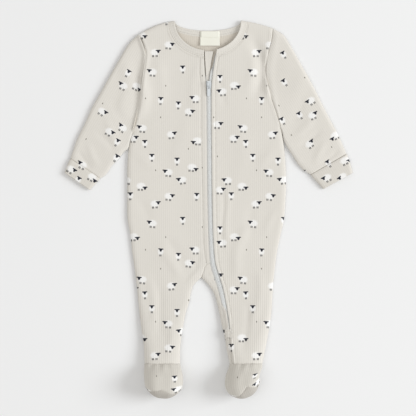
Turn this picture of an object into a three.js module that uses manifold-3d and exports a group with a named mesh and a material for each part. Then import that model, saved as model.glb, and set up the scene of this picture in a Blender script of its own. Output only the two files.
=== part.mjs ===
// A baby's footed sleepsuit in rib jersey, laid flat on its back with its feet puffed up.
// Millimetres. +Z is up, +Y runs to the neck and +X to the wearer's left.
// Every table gives the middle of the cloth, and the wall is half its thickness to each side.
import * as THREE from "three";
import { mergeVertices } from "three/addons/utils/BufferGeometryUtils.js";
import Module from "manifold-3d";

const wasm = await Module();
wasm.setup();

// Cloth and seams
const CLOTH = 1.5;
const CUFF_CLOTH = 2.2;
const GUARD_CLOTH = 1.2;
const TAB_CLOTH = 1.0;
const TAPE = 0.6;
const LABEL = 0.6;
const SEAM = 0.3;

// Heights of the two layers: the back lies on the surface and the front lies over it
const BACK_TOP = CLOTH / 2;
const FOLD_SHARE = 0.43;
const HEIGHTS = [
  { y: -100, top: 5.0, roll: 8, backRoll: 8 },
  { y: -150, top: 6.2, roll: 10, backRoll: 8 },
  { y: -200, top: 11.0, roll: 16, backRoll: 10 },
  { y: -244.6, top: 18.5, roll: 24, backRoll: 12 },
];
const ZIP_RISE = { height: 1.2, width: 25, from: 120, to: 180 };

// Shoulders, neck and crotch
const SHOULDER = {
  right: { tip: { x: -110.8, y: 276.6 }, neck: { x: -53.7, y: 298.3 }, bow: 3.6 },
  left: { tip: { x: 102.5, y: 286.0 }, neck: { x: 51.3, y: 298.8 }, bow: 1.6 },
};
const NECK = { x: -1.2, y: 298.5, halfWidth: 52.5, front: 46.5, back: 15.2, binding: 10 };
const CROTCH = { x: -11.3, y: -106.8 };
const ANKLE_Y = -244.6;

// The sides of the body and the outer edges of the legs
const SIDES = [
  { y: 130, right: -118.0, left: 114.6 },
  { y: 110, right: -123.2, left: 117.4 },
  { y: 95, right: -126.0, left: 119.3 },
  { y: 75, right: -128.0, left: 121.2 },
  { y: 45, right: -128.2, left: 122.2 },
  { y: 15, right: -128.1, left: 121.3 },
  { y: -15, right: -127.9, left: 118.8 },
  { y: -40, right: -123.6, left: 113.6 },
  { y: -65, right: -120.7, left: 108.2 },
  { y: -90, right: -117.2, left: 104.8 },
  { y: -120, right: -113.4, left: 101.4 },
  { y: -150, right: -110.5, left: 99.8 },
  { y: -180, right: -107.1, left: 96.8 },
  { y: -214, right: -102.2, left: 90.5 },
  { y: ANKLE_Y, right: -100.8, left: 84.5 },
];

// The inner edges of the two legs, from the crotch to the ankle
const INNER_LEGS = [
  { y: CROTCH.y, right: CROTCH.x, left: CROTCH.x },
  { y: -118, right: -23.2, left: -0.8 },
  { y: -131, right: -28.6, left: 8.3 },
  { y: -148, right: -31.8, left: 14.0 },
  { y: -165, right: -37.2, left: 17.8 },
  { y: -185, right: -41.0, left: 22.0 },
  { y: -205, right: -44.0, left: 26.7 },
  { y: -225, right: -45.9, left: 30.1 },
  { y: ANKLE_Y, right: -45.6, left: 34.2 },
];

// The armhole seams, from the shoulder to the armpit
const ARMHOLES = [
  { rightY: 276.6, right: -110.8, leftY: 286.0, left: 102.5 },
  { rightY: 262.0, right: -104.8, leftY: 271.0, left: 101.2 },
  { rightY: 248.0, right: -100.6, leftY: 257.0, left: 97.4 },
  { rightY: 234.0, right: -101.6, leftY: 242.0, left: 93.7 },
  { rightY: 212.0, right: -104.8, leftY: 221.0, left: 91.2 },
  { rightY: 190.0, right: -107.4, leftY: 202.0, left: 93.7 },
  { rightY: 165.0, right: -111.0, leftY: 178.5, left: 99.4 },
  { rightY: 143.0, right: -115.6, leftY: 155.0, left: 107.6 },
  { rightY: 123.0, right: -120.8, leftY: 129.2, left: 115.7 },
];
const ARMPIT = { right: { x: -119.9, y: 123.0 }, left: { x: 114.8, y: 129.2 } };

// Each sleeve's outer and inner edge, from the armhole to the cuff
const SLEEVES = {
  right: [
    { outerX: -110.8, outerY: 276.6, innerX: -121.8, innerY: 123.0 },
    { outerX: -126.0, outerY: 262.0, innerX: -125.4, innerY: 110.0 },
    { outerX: -141.5, outerY: 236.7, innerX: -128.0, innerY: 97.5 },
    { outerX: -156.0, outerY: 211.3, innerX: -135.4, innerY: 91.0 },
    { outerX: -170.2, outerY: 186.0, innerX: -143.2, innerY: 81.0 },
    { outerX: -184.5, outerY: 160.7, innerX: -153.4, innerY: 70.2 },
    { outerX: -195.8, outerY: 135.3, innerX: -160.2, innerY: 59.6 },
    { outerX: -208.3, outerY: 110.0, innerX: -165.8, innerY: 53.8 },
    { outerX: -218.6, outerY: 80.3, innerX: -172.4, innerY: 49.9 },
  ],
  left: [
    { outerX: 102.5, outerY: 286.0, innerX: 116.6, innerY: 129.2 },
    { outerX: 119.1, outerY: 274.8, innerX: 118.4, innerY: 119.0 },
    { outerX: 135.0, outerY: 249.5, innerX: 120.2, innerY: 109.0 },
    { outerX: 149.2, outerY: 224.1, innerX: 127.0, innerY: 96.0 },
    { outerX: 163.5, outerY: 198.7, innerX: 133.8, innerY: 85.6 },
    { outerX: 176.2, outerY: 173.4, innerX: 141.6, innerY: 73.2 },
    { outerX: 188.9, outerY: 148.0, innerX: 147.6, innerY: 66.4 },
    { outerX: 204.4, outerY: 119.0, innerX: 153.8, innerY: 60.8 },
    { outerX: 218.2, outerY: 87.6, innerX: 162.4, innerY: 55.6 },
  ],
};
const CUFFS = {
  right: [
    { outerX: -218.7, outerY: 79.6, innerX: -173.2, innerY: 49.3 },
    { outerX: -223.6, outerY: 69.4, innerX: -181.4, innerY: 40.2 },
    { outerX: -227.6, outerY: 57.6, innerX: -189.0, innerY: 31.2 },
  ],
  left: [
    { outerX: 218.4, outerY: 86.9, innerX: 163.0, innerY: 54.9 },
    { outerX: 223.6, outerY: 73.0, innerX: 173.0, innerY: 43.6 },
    { outerX: 227.6, outerY: 57.4, innerX: 182.8, innerY: 32.8 },
  ],
};
const SLEEVE_TOP = 5.2;
const CUFF_TOP = 5.4;

// The zip: its chain, open above the slider, and the cloth edges on both sides of it
const CHAIN = [
  { y: 253, right: -5.4, left: 10.2, clothRight: 2.2, clothLeft: 2.8 },
  { y: 237, right: -5.0, left: 6.2, clothRight: 2.0, clothLeft: 4.0 },
  { y: 218, right: -3.6, left: 3.0, clothRight: 2.4, clothLeft: 4.4 },
  { y: 205, right: -1.4, left: 1.4, clothRight: 3.4, clothLeft: 4.3 },
  { y: 196, right: 0.3, left: 0.7, clothRight: 4.15, clothLeft: 4.15 },
  { y: 192, right: 0.52, left: 0.52, clothRight: 4.15, clothLeft: 4.15 },
  { y: 110, right: 1.1, left: 1.1, clothRight: 4.15, clothLeft: 4.15 },
  { y: 15, right: 2.1, left: 2.1, clothRight: 4.15, clothLeft: 4.15 },
  { y: -50, right: 4.0, left: 4.0, clothRight: 4.15, clothLeft: 4.15 },
  { y: -85, right: 6.8, left: 6.8, clothRight: 4.5, clothLeft: 4.5 },
  { y: -104, right: 12.1, left: 12.1, clothRight: 4.6, clothLeft: 4.6 },
  { y: -126, right: 19.0, left: 19.0, clothRight: 4.4, clothLeft: 4.4 },
  { y: -152, right: 24.4, left: 24.4, clothRight: 3.4, clothLeft: 4.3 },
  { y: -176, right: 28.4, left: 28.4, clothRight: 3.0, clothLeft: 4.2 },
  { y: -198, right: 31.3, left: 31.3, clothRight: 3.6, clothLeft: 4.15 },
];
const ZIP_END_Y = -198;
const CHAIN_HALF_GAP = 0.2;
const TAPE_WIDTH = 11;

// The seams of the narrow strip that joins the zip to the inside of the left leg
const STRIP_TOP_Y = -86;
const CROTCH_SEAM = [
  { y: -84, x: 2.4 },
  { y: -90, x: -5.6 },
  { y: -98, x: -8.2 },
  { y: CROTCH.y, x: CROTCH.x },
];
const ANKLE_SEAM = [
  { y: -206, x: 33.4 },
  { y: -225, x: 35.6 },
  { y: ANKLE_Y, x: 38.6 },
];

// The feet: rings from the ankle seam to the sole seam, and the bulge of the sole
const FOOT_RINGS = [
  { top: 0, heel: 0, height: 18.5, widen: 0, roll: 24, backRoll: 12, turned: 0 },
  { top: 8, heel: 6, height: 28.0, widen: 1.0, roll: 24, backRoll: 13, turned: 0.1 },
  { top: 19, heel: 12, height: 37.5, widen: 2.2, roll: 23, backRoll: 14, turned: 0.4 },
  { top: 31, heel: 18, height: 43.0, widen: 2.6, roll: 22, backRoll: 15, turned: 0.8 },
  { top: 40, heel: 23, height: 44.0, widen: 2.0, roll: 21, backRoll: 16, turned: 1 },
  { top: 45.5, heel: 28, height: 42.0, widen: 0.4, roll: 20, backRoll: 17, turned: 1 },
];
const FEET = {
  right: { x: -73.2, halfWidth: 27.6, shift: 1.4, turn: -5, bulge: 15.6 },
  left: { x: 59.35, halfWidth: 25.15, shift: -2.4, turn: 22, bulge: 14.5 },
};
const FOOT_PIVOT = 38;
const SOLE_ROUNDNESS = 2.6;
const SOLE_RINGS = [1, 0.97, 0.9, 0.78, 0.6, 0.36];

// Soft folds: a trough or ridge along a line, as wide and as deep as given
const FOLDS = [
  { name: "left chest", x0: 81, y0: 268, x1: 83, y1: 186, width: 7, height: -1.0 },
  { name: "left chest ridge", x0: 66, y0: 262, x1: 70, y1: 180, width: 10, height: 0.9 },
  { name: "right chest", x0: -88, y0: 250, x1: -92, y1: 150, width: 9, height: -0.8 },
  { name: "right chest ridge", x0: -72, y0: 245, x1: -76, y1: 160, width: 10, height: 0.7 },
  { name: "beside the zip", x0: 23, y0: 36, x1: 24, y1: -56, width: 4, height: -0.7 },
  { name: "left hip", x0: 62, y0: -20, x1: 36, y1: -112, width: 11, height: 0.9 },
  { name: "right hip", x0: -84, y0: -60, x1: -36, y1: -108, width: 10, height: 0.8 },
  { name: "right thigh", x0: -98, y0: -100, x1: -78, y1: -190, width: 9, height: 0.8 },
  { name: "left thigh", x0: 84, y0: -96, x1: 70, y1: -190, width: 9, height: 0.8 },
];
const SLEEVE_FOLDS = [
  { name: "left sleeve head", x0: 119, y0: 248, x1: 122, y1: 184, width: 8, height: -1.0 },
  { name: "left elbow", x0: 132, y0: 112, x1: 168, y1: 150, width: 8, height: 0.9 },
  { name: "left wrist", x0: 166, y0: 74, x1: 190, y1: 108, width: 7, height: 0.8 },
  { name: "right sleeve head", x0: -112, y0: 250, x1: -120, y1: 140, width: 9, height: -1.0 },
  { name: "right elbow", x0: -140, y0: 106, x1: -166, y1: 142, width: 8, height: 0.9 },
  { name: "right wrist", x0: -172, y0: 68, x1: -192, y1: 104, width: 7, height: 0.8 },
];

// Room beside the armhole seam, wider at the armpit, where both pieces stand upright
const ROLL_AT_SEAM = 8;
const ARMHOLE_ROOM = 0.5;
const ARMPIT_ROOM = 1.25;
const NECK_ROOM = 0.45;
const SEAM_FROM_NECK = NECK.binding + NECK_ROOM;

// Half the gap at other seams: wider where the cloth changes its slope there
const FOLD_ROOM = 0.3;
const CROTCH_ROOM = 0.45;
const LEG_SEAM_ROOM = 0.25;
const ANKLE_ROOM = 0.45;
const SOLE_ROOM = 0.8;
const TAPE_ROOM = 0.45;

// The crotch's extra room fades away, and the legs' own rolls begin, over these lengths
const CROTCH_FADE = 4;
const LEG_BLEND = 30;

// A roll takes less than half of a narrow tube, and a point this little turned stands upright
const WIDEST_ROLL = 0.49;
const UPRIGHT = 0.02;

// The zip's hard pieces
const COIL = {
  width: 2.4, under: -0.75, top: 0.9, shoulder: 0.2, crown: 0.7, fromCloth: 1.1,
  from: 246, to: -192,
};
const TAPES = { inner: 0.5, top: 251, bottom: -200, fromLegEdge: 3.2 };
const GUARD = { left: 11.5, right: -9.0, top: 251, bottom: 178, height: 2.4 };
const SLIDER = {
  x: 0.45, from: 192, to: 203.6, wide: 8, narrow: 6.4, nose: 2.4, plate: 1.0, under: 0.8,
  shoulder: 3, corner: 0.6, cornerWidth: 1, room: 0.1,
};
const POST = { width: 0.8, length: 1.8, fromNose: 0.2 };
const BRIDGE = { from: 193.5, to: 201.5, height: 3.0, wall: 1.1, width: 1.4, corner: 0.8 };
const PULL = {
  y: 195.5, lift: 1.0, length: 16, width: 5, thickness: 0.9, slope: 5, rim: 1.2, corner: 1,
};
const PULL_EYE = { from: 0.45, to: 4.4 };
const END_TAB = { from: -190, to: -204, lean: 0.12, across: [-3.8, -1.2, 1.6, 5.2] };

// The two labels on the back of the neck
const LABELS = {
  long: { right: -13.6, left: 17.6, top: 282.6, bottom: 259.6, height: 2.1 },
  short: { right: -12.2, left: 16.6, top: 282.6, bottom: 273.2, height: 3.0 },
};
const LABEL_LIFT = 2.4;

// Levels of the mesh rows, closer together where the cloth turns over
const YOKE_END_Y = 236;
const YOKE_STEPS = [0, 0.025, 0.08, 0.16, 0.26, 0.37, 0.49, 0.62, 0.75, 0.88, 1];
const BODY_LEVELS = [
  222, 206, 190, 174, 158, 144, 135, 130, 127, 124, 121, 116, 108, 96, 80, 58, 34, 8,
  -16, -40, -62, -80, -86, -92, -97.5, -101.5, -104.5, CROTCH.y,
];
const LEG_LEVELS = [
  CROTCH.y, -109, -113, -119, -127, -138, -152, -168, -186, -198, -202, -206, -226, ANKLE_Y,
];

const BACK_STEPS = { rollA: 3, flat: 3, rollB: 3 };
const FRONT_STEPS = { rollA: 3, flat: 6, rollB: 3 };
const SLEEVE_COLUMNS = { rollA: 3, flat: 7, rollB: 3 };
const CUFF_COLUMNS = { rollA: 3, flat: 5, rollB: 3 };
const FOOT_STEPS = { rollA: 5, flat: 2, rollB: 5 };
const YOKE_WIDTH = 100;
const CUFF_ROLL = 4.5;
const BACK_NECK_STEPS = 6;
const STRIP_COLUMNS = [0, 0.08, 0.3, 0.62, 1];
const SLEEVE_STEPS = [0, 0.05, 0.11, 0.18, 0.26, 0.35, 0.45, 0.56, 0.68, 0.79, 0.88, 0.95, 1];
const SLEEVE_HEAD = 0.3;
const ZIP_LEVELS = [
  246, 238, 228, 218, 210, 204, 198, 190, 176, 150, 120, 90, 55, 15, -15, -40, -58, -72, -84,
  -94, -104, -115, -126, -139, -152, -164, -176, -184, -192,
];
const WELD = 200;

// Numbers
const clamp = (t) => Math.min(1, Math.max(0, t));
const mix = (a, b, t) => a + (b - a) * t;
const smooth = (t) => clamp(t) * clamp(t) * (3 - 2 * clamp(t));
const toRadians = THREE.MathUtils.degToRad;

// A quarter of an ellipse: 0 at a folded edge, upright there, and 1 from s = 1 on.
const rolled = (s) => Math.sqrt(1 - (1 - clamp(s)) ** 2);

// A smooth curve through one column of a table, read at any value of its key column.
function column(table, name, key = "y") {
  const rows = [...table].sort((a, b) => a[key] - b[key]);
  const slope = (i) => {
    const low = rows[Math.max(0, i - 1)];
    const high = rows[Math.min(rows.length - 1, i + 1)];
    return (high[name] - low[name]) / (high[key] - low[key]);
  };
  return (at) => {
    let i = rows.findIndex((row) => row[key] >= at);
    if (i === -1) i = rows.length - 1;
    i = Math.max(1, i);
    const [a, b] = [rows[i - 1], rows[i]];
    const width = b[key] - a[key];
    const t = clamp((at - a[key]) / width);
    const [t2, t3] = [t * t, t * t * t];
    return (
      (2 * t3 - 3 * t2 + 1) * a[name] +
      (t3 - 2 * t2 + t) * width * slope(i - 1) +
      (3 * t2 - 2 * t3) * b[name] +
      (t3 - t2) * width * slope(i)
    );
  };
}

// The same, with the table's row number as the key.
function columnByRow(table, name) {
  return column(table.map((row, number) => ({ ...row, number })), name, "number");
}

const SIGN = { right: -1, left: 1 };
const side = { right: column(SIDES, "right"), left: column(SIDES, "left") };
const innerLeg = { right: column(INNER_LEGS, "right"), left: column(INNER_LEGS, "left") };
const armhole = {
  right: column(ARMHOLES, "right", "rightY"),
  left: column(ARMHOLES, "left", "leftY"),
};
const armholeTip = { right: ARMHOLES[0].rightY, left: ARMHOLES[0].leftY };
const chain = { right: column(CHAIN, "right"), left: column(CHAIN, "left") };
const clothFromChain = {
  right: column(CHAIN, "clothRight"),
  left: column(CHAIN, "clothLeft"),
};
const crotchSeam = column(CROTCH_SEAM, "x");
const ankleSeam = column(ANKLE_SEAM, "x");
const topOf = column(HEIGHTS, "top");
const rollOf = column(HEIGHTS, "roll");
const backRollOf = column(HEIGHTS, "backRoll");

// How high a list of soft folds lifts the front layer at a point.
function lift(folds, x, y) {
  let total = 0;
  for (const f of folds) {
    const [dx, dy] = [f.x1 - f.x0, f.y1 - f.y0];
    const length = Math.hypot(dx, dy);
    const along = ((x - f.x0) * dx + (y - f.y0) * dy) / length;
    const across = ((x - f.x0) * dy - (y - f.y0) * dx) / length;
    const end = smooth((along + f.width) / (3 * f.width));
    const otherEnd = smooth((length + f.width - along) / (3 * f.width));
    total += f.height * end * otherEnd * Math.exp(-((across / f.width) ** 2));
  }
  return total;
}

// The shoulder fold: a slightly bowed line from the armhole to the neck, level over the neck.
function shoulderY(x) {
  const { tip, neck, bow } = x < NECK.x ? SHOULDER.right : SHOULDER.left;
  const t = clamp((x - tip.x) / (neck.x - tip.x));
  return mix(tip.y, neck.y, t) + bow * 4 * t * (1 - t);
}

// How far the body's cloth has turned over at a point: 0 on a folded edge, 1 away from it.
function turnedFlat(x, y, roll) {
  let open = rolled((shoulderY(x) - y) / roll);
  for (const hand of ["right", "left"]) {
    const pit = ARMPIT[hand];
    const inward = SIGN[hand] * (side[hand](y) - x);
    const room = y > pit.y ? Math.hypot(x - pit.x, y - pit.y) : inward;
    open *= rolled(room / roll);
  }
  if (y > CROTCH.y) return open * rolled(Math.hypot(x - CROTCH.x, y - CROTCH.y) / roll);
  const hand = x < (innerLeg.right(y) + innerLeg.left(y)) / 2 ? "right" : "left";
  return open * rolled((SIGN[hand] * (x - innerLeg[hand](y))) / roll);
}

const foldHeight = (y) => mix(BACK_TOP, topOf(y), FOLD_SHARE);

function frontHeight(x, y) {
  const nearZip = Math.exp(-(((x - chain.right(y)) / ZIP_RISE.width) ** 2));
  const zipRise = smooth((y - ZIP_RISE.from) / (ZIP_RISE.to - ZIP_RISE.from));
  const top = topOf(y) + ZIP_RISE.height * nearZip * zipRise + lift(FOLDS, x, y);
  return mix(foldHeight(y) + FOLD_ROOM, top, turnedFlat(x, y, rollOf(y)));
}

function backHeight(x, y) {
  return mix(foldHeight(y) - FOLD_ROOM, BACK_TOP, turnedFlat(x, y, backRollOf(y)));
}

// Shapes of a mesh row: where its columns lie between two edges that may turn over
function spread(steps, rollA, rollB, width) {
  const places = [];
  for (let i = 0; i < steps.rollA; i++)
    places.push(rollA * (1 - Math.cos((i / steps.rollA) * (Math.PI / 2))));
  for (let i = 0; i <= steps.flat; i++)
    places.push(mix(rollA, width - rollB, i / steps.flat));
  for (let i = steps.rollB - 1; i >= 0; i--)
    places.push(width - rollB * (1 - Math.cos((i / steps.rollB) * (Math.PI / 2))));
  return places;
}

// A wall of cloth: grids of middle points are welded into one sheet, which is given its thickness
// along its normals, and every free edge is closed. A point marked upright lies on a folded edge,
// where the cloth stands straight up, so its normal is level.
function wall(grids, thickness) {
  const points = [];
  const triangles = [];
  const seen = new Map();
  const addPoint = (point) => {
    const key = [point.x, point.y, point.z].map((n) => Math.round(n * WELD)).join();
    if (!seen.has(key)) {
      seen.set(key, points.length);
      points.push(point);
    }
    return seen.get(key);
  };
  for (const grid of grids) {
    const rows = grid.map((row) => row.map(addPoint));
    for (let j = 0; j + 1 < rows.length; j++)
      for (let i = 0; i + 1 < rows[j].length; i++) {
        const [a, b] = [rows[j][i], rows[j][i + 1]];
        const [c, d] = [rows[j + 1][i + 1], rows[j + 1][i]];
        if (a !== b && b !== c && a !== c) triangles.push([a, b, c]);
        if (a !== c && c !== d && a !== d) triangles.push([a, c, d]);
      }
  }
  const normals = points.map(() => new THREE.Vector3());
  const faces = [];
  const free = new Map();
  for (const [a, b, c] of triangles) {
    const ab = points[b].clone().sub(points[a]);
    const face = ab.cross(points[c].clone().sub(points[a]));
    for (const p of [a, b, c]) normals[p].add(face);
    faces.push([a, b, c], [c + points.length, b + points.length, a + points.length]);
    for (const [p, q] of [[a, b], [b, c], [c, a]])
      if (!free.delete(q + "," + p)) free.set(p + "," + q, [p, q]);
  }
  for (const [p, q] of free.values())
    faces.push([q, p, p + points.length], [q, p + points.length, q + points.length]);
  normals.forEach((normal, i) => {
    if (points[i].upright) normal.z = 0;
    normal.normalize();
  });
  const corners = [thickness / 2, -thickness / 2].flatMap((out) =>
    points.map((point, i) => point.clone().addScaledVector(normals[i], out)),
  );
  return solid(corners, faces);
}

// A closed solid from corners and triangles, turned the right way out if it is inside out.
function solid(corners, faces) {
  let volume = 0;
  for (const [a, b, c] of faces)
    volume += corners[a].dot(corners[b].clone().cross(corners[c]));
  const ordered = volume < 0 ? faces.map(([a, b, c]) => [a, c, b]) : faces;
  const geometry = new THREE.BufferGeometry().setFromPoints(corners);
  geometry.setIndex(ordered.flat());
  geometry.computeVertexNormals();
  return geometry;
}

// The same grid with its columns the other way round, so that two halves face the same way.
const mirrored = (grid) => grid.map((row) => [...row].reverse());

// Points in plan laid over the front or the back layer of the body.
function laid(height, plan) {
  return plan.map((row) =>
    row.map(({ x, y }) => {
      const point = new THREE.Vector3(x, y, height(x, y));
      point.upright = turnedFlat(x, y, ROLL_AT_SEAM) < UPRIGHT;
      return point;
    }),
  );
}

// The neck: an ellipse for the front and one for the back, both from the shoulder folds. The
// width says how far outside the opening's edge the curve runs, and the angle starts at the fold.
function neckPoint(hand, depth, width, angle) {
  const reach = NECK.halfWidth + width;
  const startX = NECK.x + SIGN[hand] * reach;
  const startY = shoulderY(startX);
  const down = depth + width - (NECK.y - startY);
  return {
    x: NECK.x + SIGN[hand] * reach * Math.cos(angle),
    y: startY - down * Math.sin(angle),
  };
}

// The angle at which the front neck curve reaches the zip's cloth edge.
function neckEnd(hand, width) {
  const edge = clothEdge(hand, NECK.y - NECK.front - width) - NECK.x;
  return Math.acos(clamp((SIGN[hand] * edge) / (NECK.halfWidth + width)));
}

// The cut edges of a front panel, the zip's cloth and the seams below it
function clothEdge(hand, y) {
  const [a, b] = [chain[hand](y + 1), chain[hand](y - 1)];
  const slant = Math.hypot(1, (a - b) / 2);
  return chain[hand](y) + SIGN[hand] * clothFromChain[hand](y) * slant;
}

function belowZip(hand, y) {
  if (y > ZIP_END_Y) return clothEdge(hand, y);
  const t = smooth((ZIP_END_Y - y) / (ZIP_END_Y - ANKLE_SEAM[0].y));
  const seam = ankleSeam(Math.min(y, ANKLE_SEAM[0].y)) + SIGN[hand] * LEG_SEAM_ROOM;
  return mix(clothEdge(hand, ZIP_END_Y), seam, t);
}

// The front's inner leg edge, which stands a little off the seam at the crotch.
function innerEdge(hand, y) {
  return innerLeg[hand](y) + SIGN[hand] * CROTCH_ROOM * Math.exp((y - CROTCH.y) / CROTCH_FADE);
}

function stripInnerEdge(y) {
  return y > CROTCH.y ? crotchSeam(y) + CROTCH_ROOM : innerEdge("left", y);
}

function centreEdge(hand, y) {
  if (hand === "left") return belowZip("left", y);
  if (y > CROTCH_SEAM[0].y) return clothEdge("right", y);
  return y > CROTCH.y ? crotchSeam(y) - CROTCH_ROOM : innerEdge("right", y);
}

// A body panel's outer edge: beside the armhole seam above the armpit, on the side fold below it.
function outerEdge(hand, y) {
  const pit = ARMPIT[hand];
  if (y <= pit.y) return side[hand](y);
  const near = 1 - rolled((y - pit.y) / ROLL_AT_SEAM);
  return armhole[hand](y) - SIGN[hand] * mix(ARMHOLE_ROOM, ARMPIT_ROOM, near);
}

// One row of a front panel in plan, from the outer edge to the centre edge.
function frontRow(hand, y) {
  const [a, b] = [outerEdge(hand, y), centreEdge(hand, y)];
  const width = Math.abs(b - a);
  const legs = smooth((CROTCH.y + LEG_BLEND - y) / LEG_BLEND);
  const rollA = Math.min(rollOf(y), width * WIDEST_ROLL);
  const rollB = mix(ROLL_AT_SEAM, Math.min(rollOf(y), width - rollA), legs);
  return spread(FRONT_STEPS, rollA, rollB, width).map((at) => ({ x: a - SIGN[hand] * at, y }));
}

function frontPanel(hand) {
  const end = neckEnd(hand, SEAM_FROM_NECK);
  const tipY = armholeTip[hand];
  const yoke = YOKE_STEPS.map((t) => {
    const y = mix(tipY, YOKE_END_Y, t);
    const a = { x: outerEdge(hand, y), y };
    const b = neckPoint(hand, NECK.front, SEAM_FROM_NECK, end * t);
    return spread(FRONT_STEPS, ROLL_AT_SEAM, ROLL_AT_SEAM, YOKE_WIDTH).map((at) => {
      const share = at / YOKE_WIDTH;
      const x = mix(a.x, b.x, share);
      const level = mix(a.y, b.y, share);
      const bow = shoulderY(mix(outerEdge(hand, tipY), firstNeck(hand).x, share));
      const straight = mix(tipY, firstNeck(hand).y, share);
      return { x, y: level + (bow - straight) * (1 - t) ** 2 };
    });
  });
  const levels = [...BODY_LEVELS, ...LEG_LEVELS.slice(1)];
  const rows = levels.map((y) => frontRow(hand, Math.max(y, ANKLE_Y + ANKLE_ROOM)));
  return wall([laid(frontHeight, [...yoke, ...rows])], CLOTH);
}
const firstNeck = (hand) => neckPoint(hand, NECK.front, SEAM_FROM_NECK, 0);

// The narrow strip between the zip and the inner edge of the left leg.
function innerStrip() {
  const seamLevels = BODY_LEVELS.filter((y) => y <= STRIP_TOP_Y);
  const rows = [...seamLevels, ...LEG_LEVELS.slice(1)].map((level) => {
    const y = Math.max(level, ANKLE_Y + ANKLE_ROOM);
    const [a, b] = [stripInnerEdge(y), belowZip("right", y)];
    return STRIP_COLUMNS.map((share) => ({ x: mix(a, b, share), y }));
  });
  return wall([laid(frontHeight, rows)], CLOTH);
}

// The back: one piece from the neck down both legs to the heels.
function backPanel() {
  const grids = [];
  for (const hand of ["right", "left"]) {
    const tipY = armholeTip[hand];
    const split = (y) => mix(CROTCH.x, NECK.x, clamp((y - CROTCH.y) / (NECK.y - CROTCH.y)));
    const row = (y) => {
      const a = outerEdge(hand, y);
      const b = y > CROTCH.y ? split(y) : innerLeg[hand](y);
      const width = Math.abs(b - a);
      const roll = backRollOf(y);
      return spread(BACK_STEPS, roll, roll, width).map((at) => ({ x: a - SIGN[hand] * at, y }));
    };
    const low = row(YOKE_END_Y);
    const neckX = neckPoint(hand, NECK.back, SEAM_FROM_NECK, 0).x;
    const shoulderColumns = BACK_STEPS.rollA;
    const top = low.map((_, i) => {
      if (i <= shoulderColumns) {
        const x = mix(outerEdge(hand, tipY), neckX, i / shoulderColumns);
        return { x, y: i === 0 ? tipY : shoulderY(x) };
      }
      const t = (i - shoulderColumns) / (low.length - 1 - shoulderColumns);
      return neckPoint(hand, NECK.back, SEAM_FROM_NECK, (t * Math.PI) / 2);
    });
    const yoke = YOKE_STEPS.slice(0, -1).map((t) =>
      top.map((from, i) => {
        const level = mix(tipY, YOKE_END_Y, t);
        const straight = mix(outerEdge(hand, tipY), outerEdge(hand, YOKE_END_Y), t);
        const curve = (outerEdge(hand, level) - straight) * (1 - i / (top.length - 1));
        return { x: mix(from.x, low[i].x, t) + curve, y: mix(from.y, YOKE_END_Y, t) };
      }),
    );
    const levels = [YOKE_END_Y, ...BODY_LEVELS, ...LEG_LEVELS.slice(1)];
    const body = laid(backHeight, [...yoke, ...levels.map(row)]);
    const heel = footGrid(hand, "heel", BACK_STEPS);
    for (const half of [body, heel]) grids.push(hand === "right" ? half : mirrored(half));
  }
  return wall(grids, CLOTH);
}

// Rings of a tube: its front from the outer edge to the inner one, then its back the other way
function tubeRing(a, b, levels, steps) {
  const { top, base, roll } = levels;
  const fold = mix(base, top, FOLD_SHARE);
  const width = Math.hypot(b.x - a.x, b.y - a.y);
  const turn = Math.min(roll, width * WIDEST_ROLL);
  const at = (share, open, layer) => {
    const x = mix(a.x, b.x, share);
    const y = mix(a.y, b.y, share);
    const raised = layer === "front" ? lift(SLEEVE_FOLDS, x, y) : 0;
    return new THREE.Vector3(x, y, mix(fold, (layer === "front" ? top : base) + raised, open));
  };
  const places = spread(steps, turn, turn, width);
  const open = (place) => rolled(Math.min(place, width - place) / turn);
  const front = places.map((place) => at(place / width, open(place), "front"));
  const back = places.slice(1, -1).reverse();
  return [...front, ...back.map((place) => at(place / width, open(place), "back")), front[0]];
}

function sleeve(hand) {
  const rows = SLEEVES[hand];
  const columns = ["outerX", "outerY", "innerX", "innerY"];
  const read = Object.fromEntries(columns.map((name) => [name, columnByRow(rows, name)]));
  const last = rows.length - 1;
  const rings = SLEEVE_STEPS.map((t) => {
    const at = Object.fromEntries(columns.map((name) => [name, read[name](t * last)]));
    const a = { x: at.outerX, y: at.outerY };
    const b = { x: at.innerX, y: at.innerY };
    const levels = { top: SLEEVE_TOP, base: BACK_TOP, roll: ROLL_AT_SEAM };
    const ring = tubeRing(a, b, levels, SLEEVE_COLUMNS);
    const bend = (1 - clamp(t / SLEEVE_HEAD)) ** 2;
    for (const point of new Set(ring)) {
      const share = (a.y - point.y) / (a.y - b.y);
      const y = mix(rows[0].outerY, rows[0].innerY, share);
      const straight = mix(rows[0].outerX, rows[0].innerX, share);
      const near = 1 - rolled((y - rows[0].innerY) / ROLL_AT_SEAM);
      const seam = armhole[hand](y) + SIGN[hand] * mix(ARMHOLE_ROOM, ARMPIT_ROOM, near);
      point.x += (seam - straight) * bend;
    }
    return ring;
  });
  return wall([rings], CLOTH);
}

function cuff(hand) {
  const levels = { top: CUFF_TOP, base: CUFF_CLOTH / 2, roll: CUFF_ROLL };
  const rings = CUFFS[hand].map((row) => {
    const a = { x: row.outerX, y: row.outerY };
    const b = { x: row.innerX, y: row.innerY };
    return tubeRing(a, b, levels, CUFF_COLUMNS);
  });
  return wall([rings], CUFF_CLOTH);
}

// A foot's ring: where a point of the section lies, s rings past the ankle. The share runs across
// the foot from its outer edge, and open says how far the cloth has turned over there.
const footColumns = ["top", "heel", "height", "widen", "roll", "backRoll", "turned"];
const footRing = Object.fromEntries(
  footColumns.map((name) => [name, columnByRow(FOOT_RINGS, name)]),
);

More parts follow.
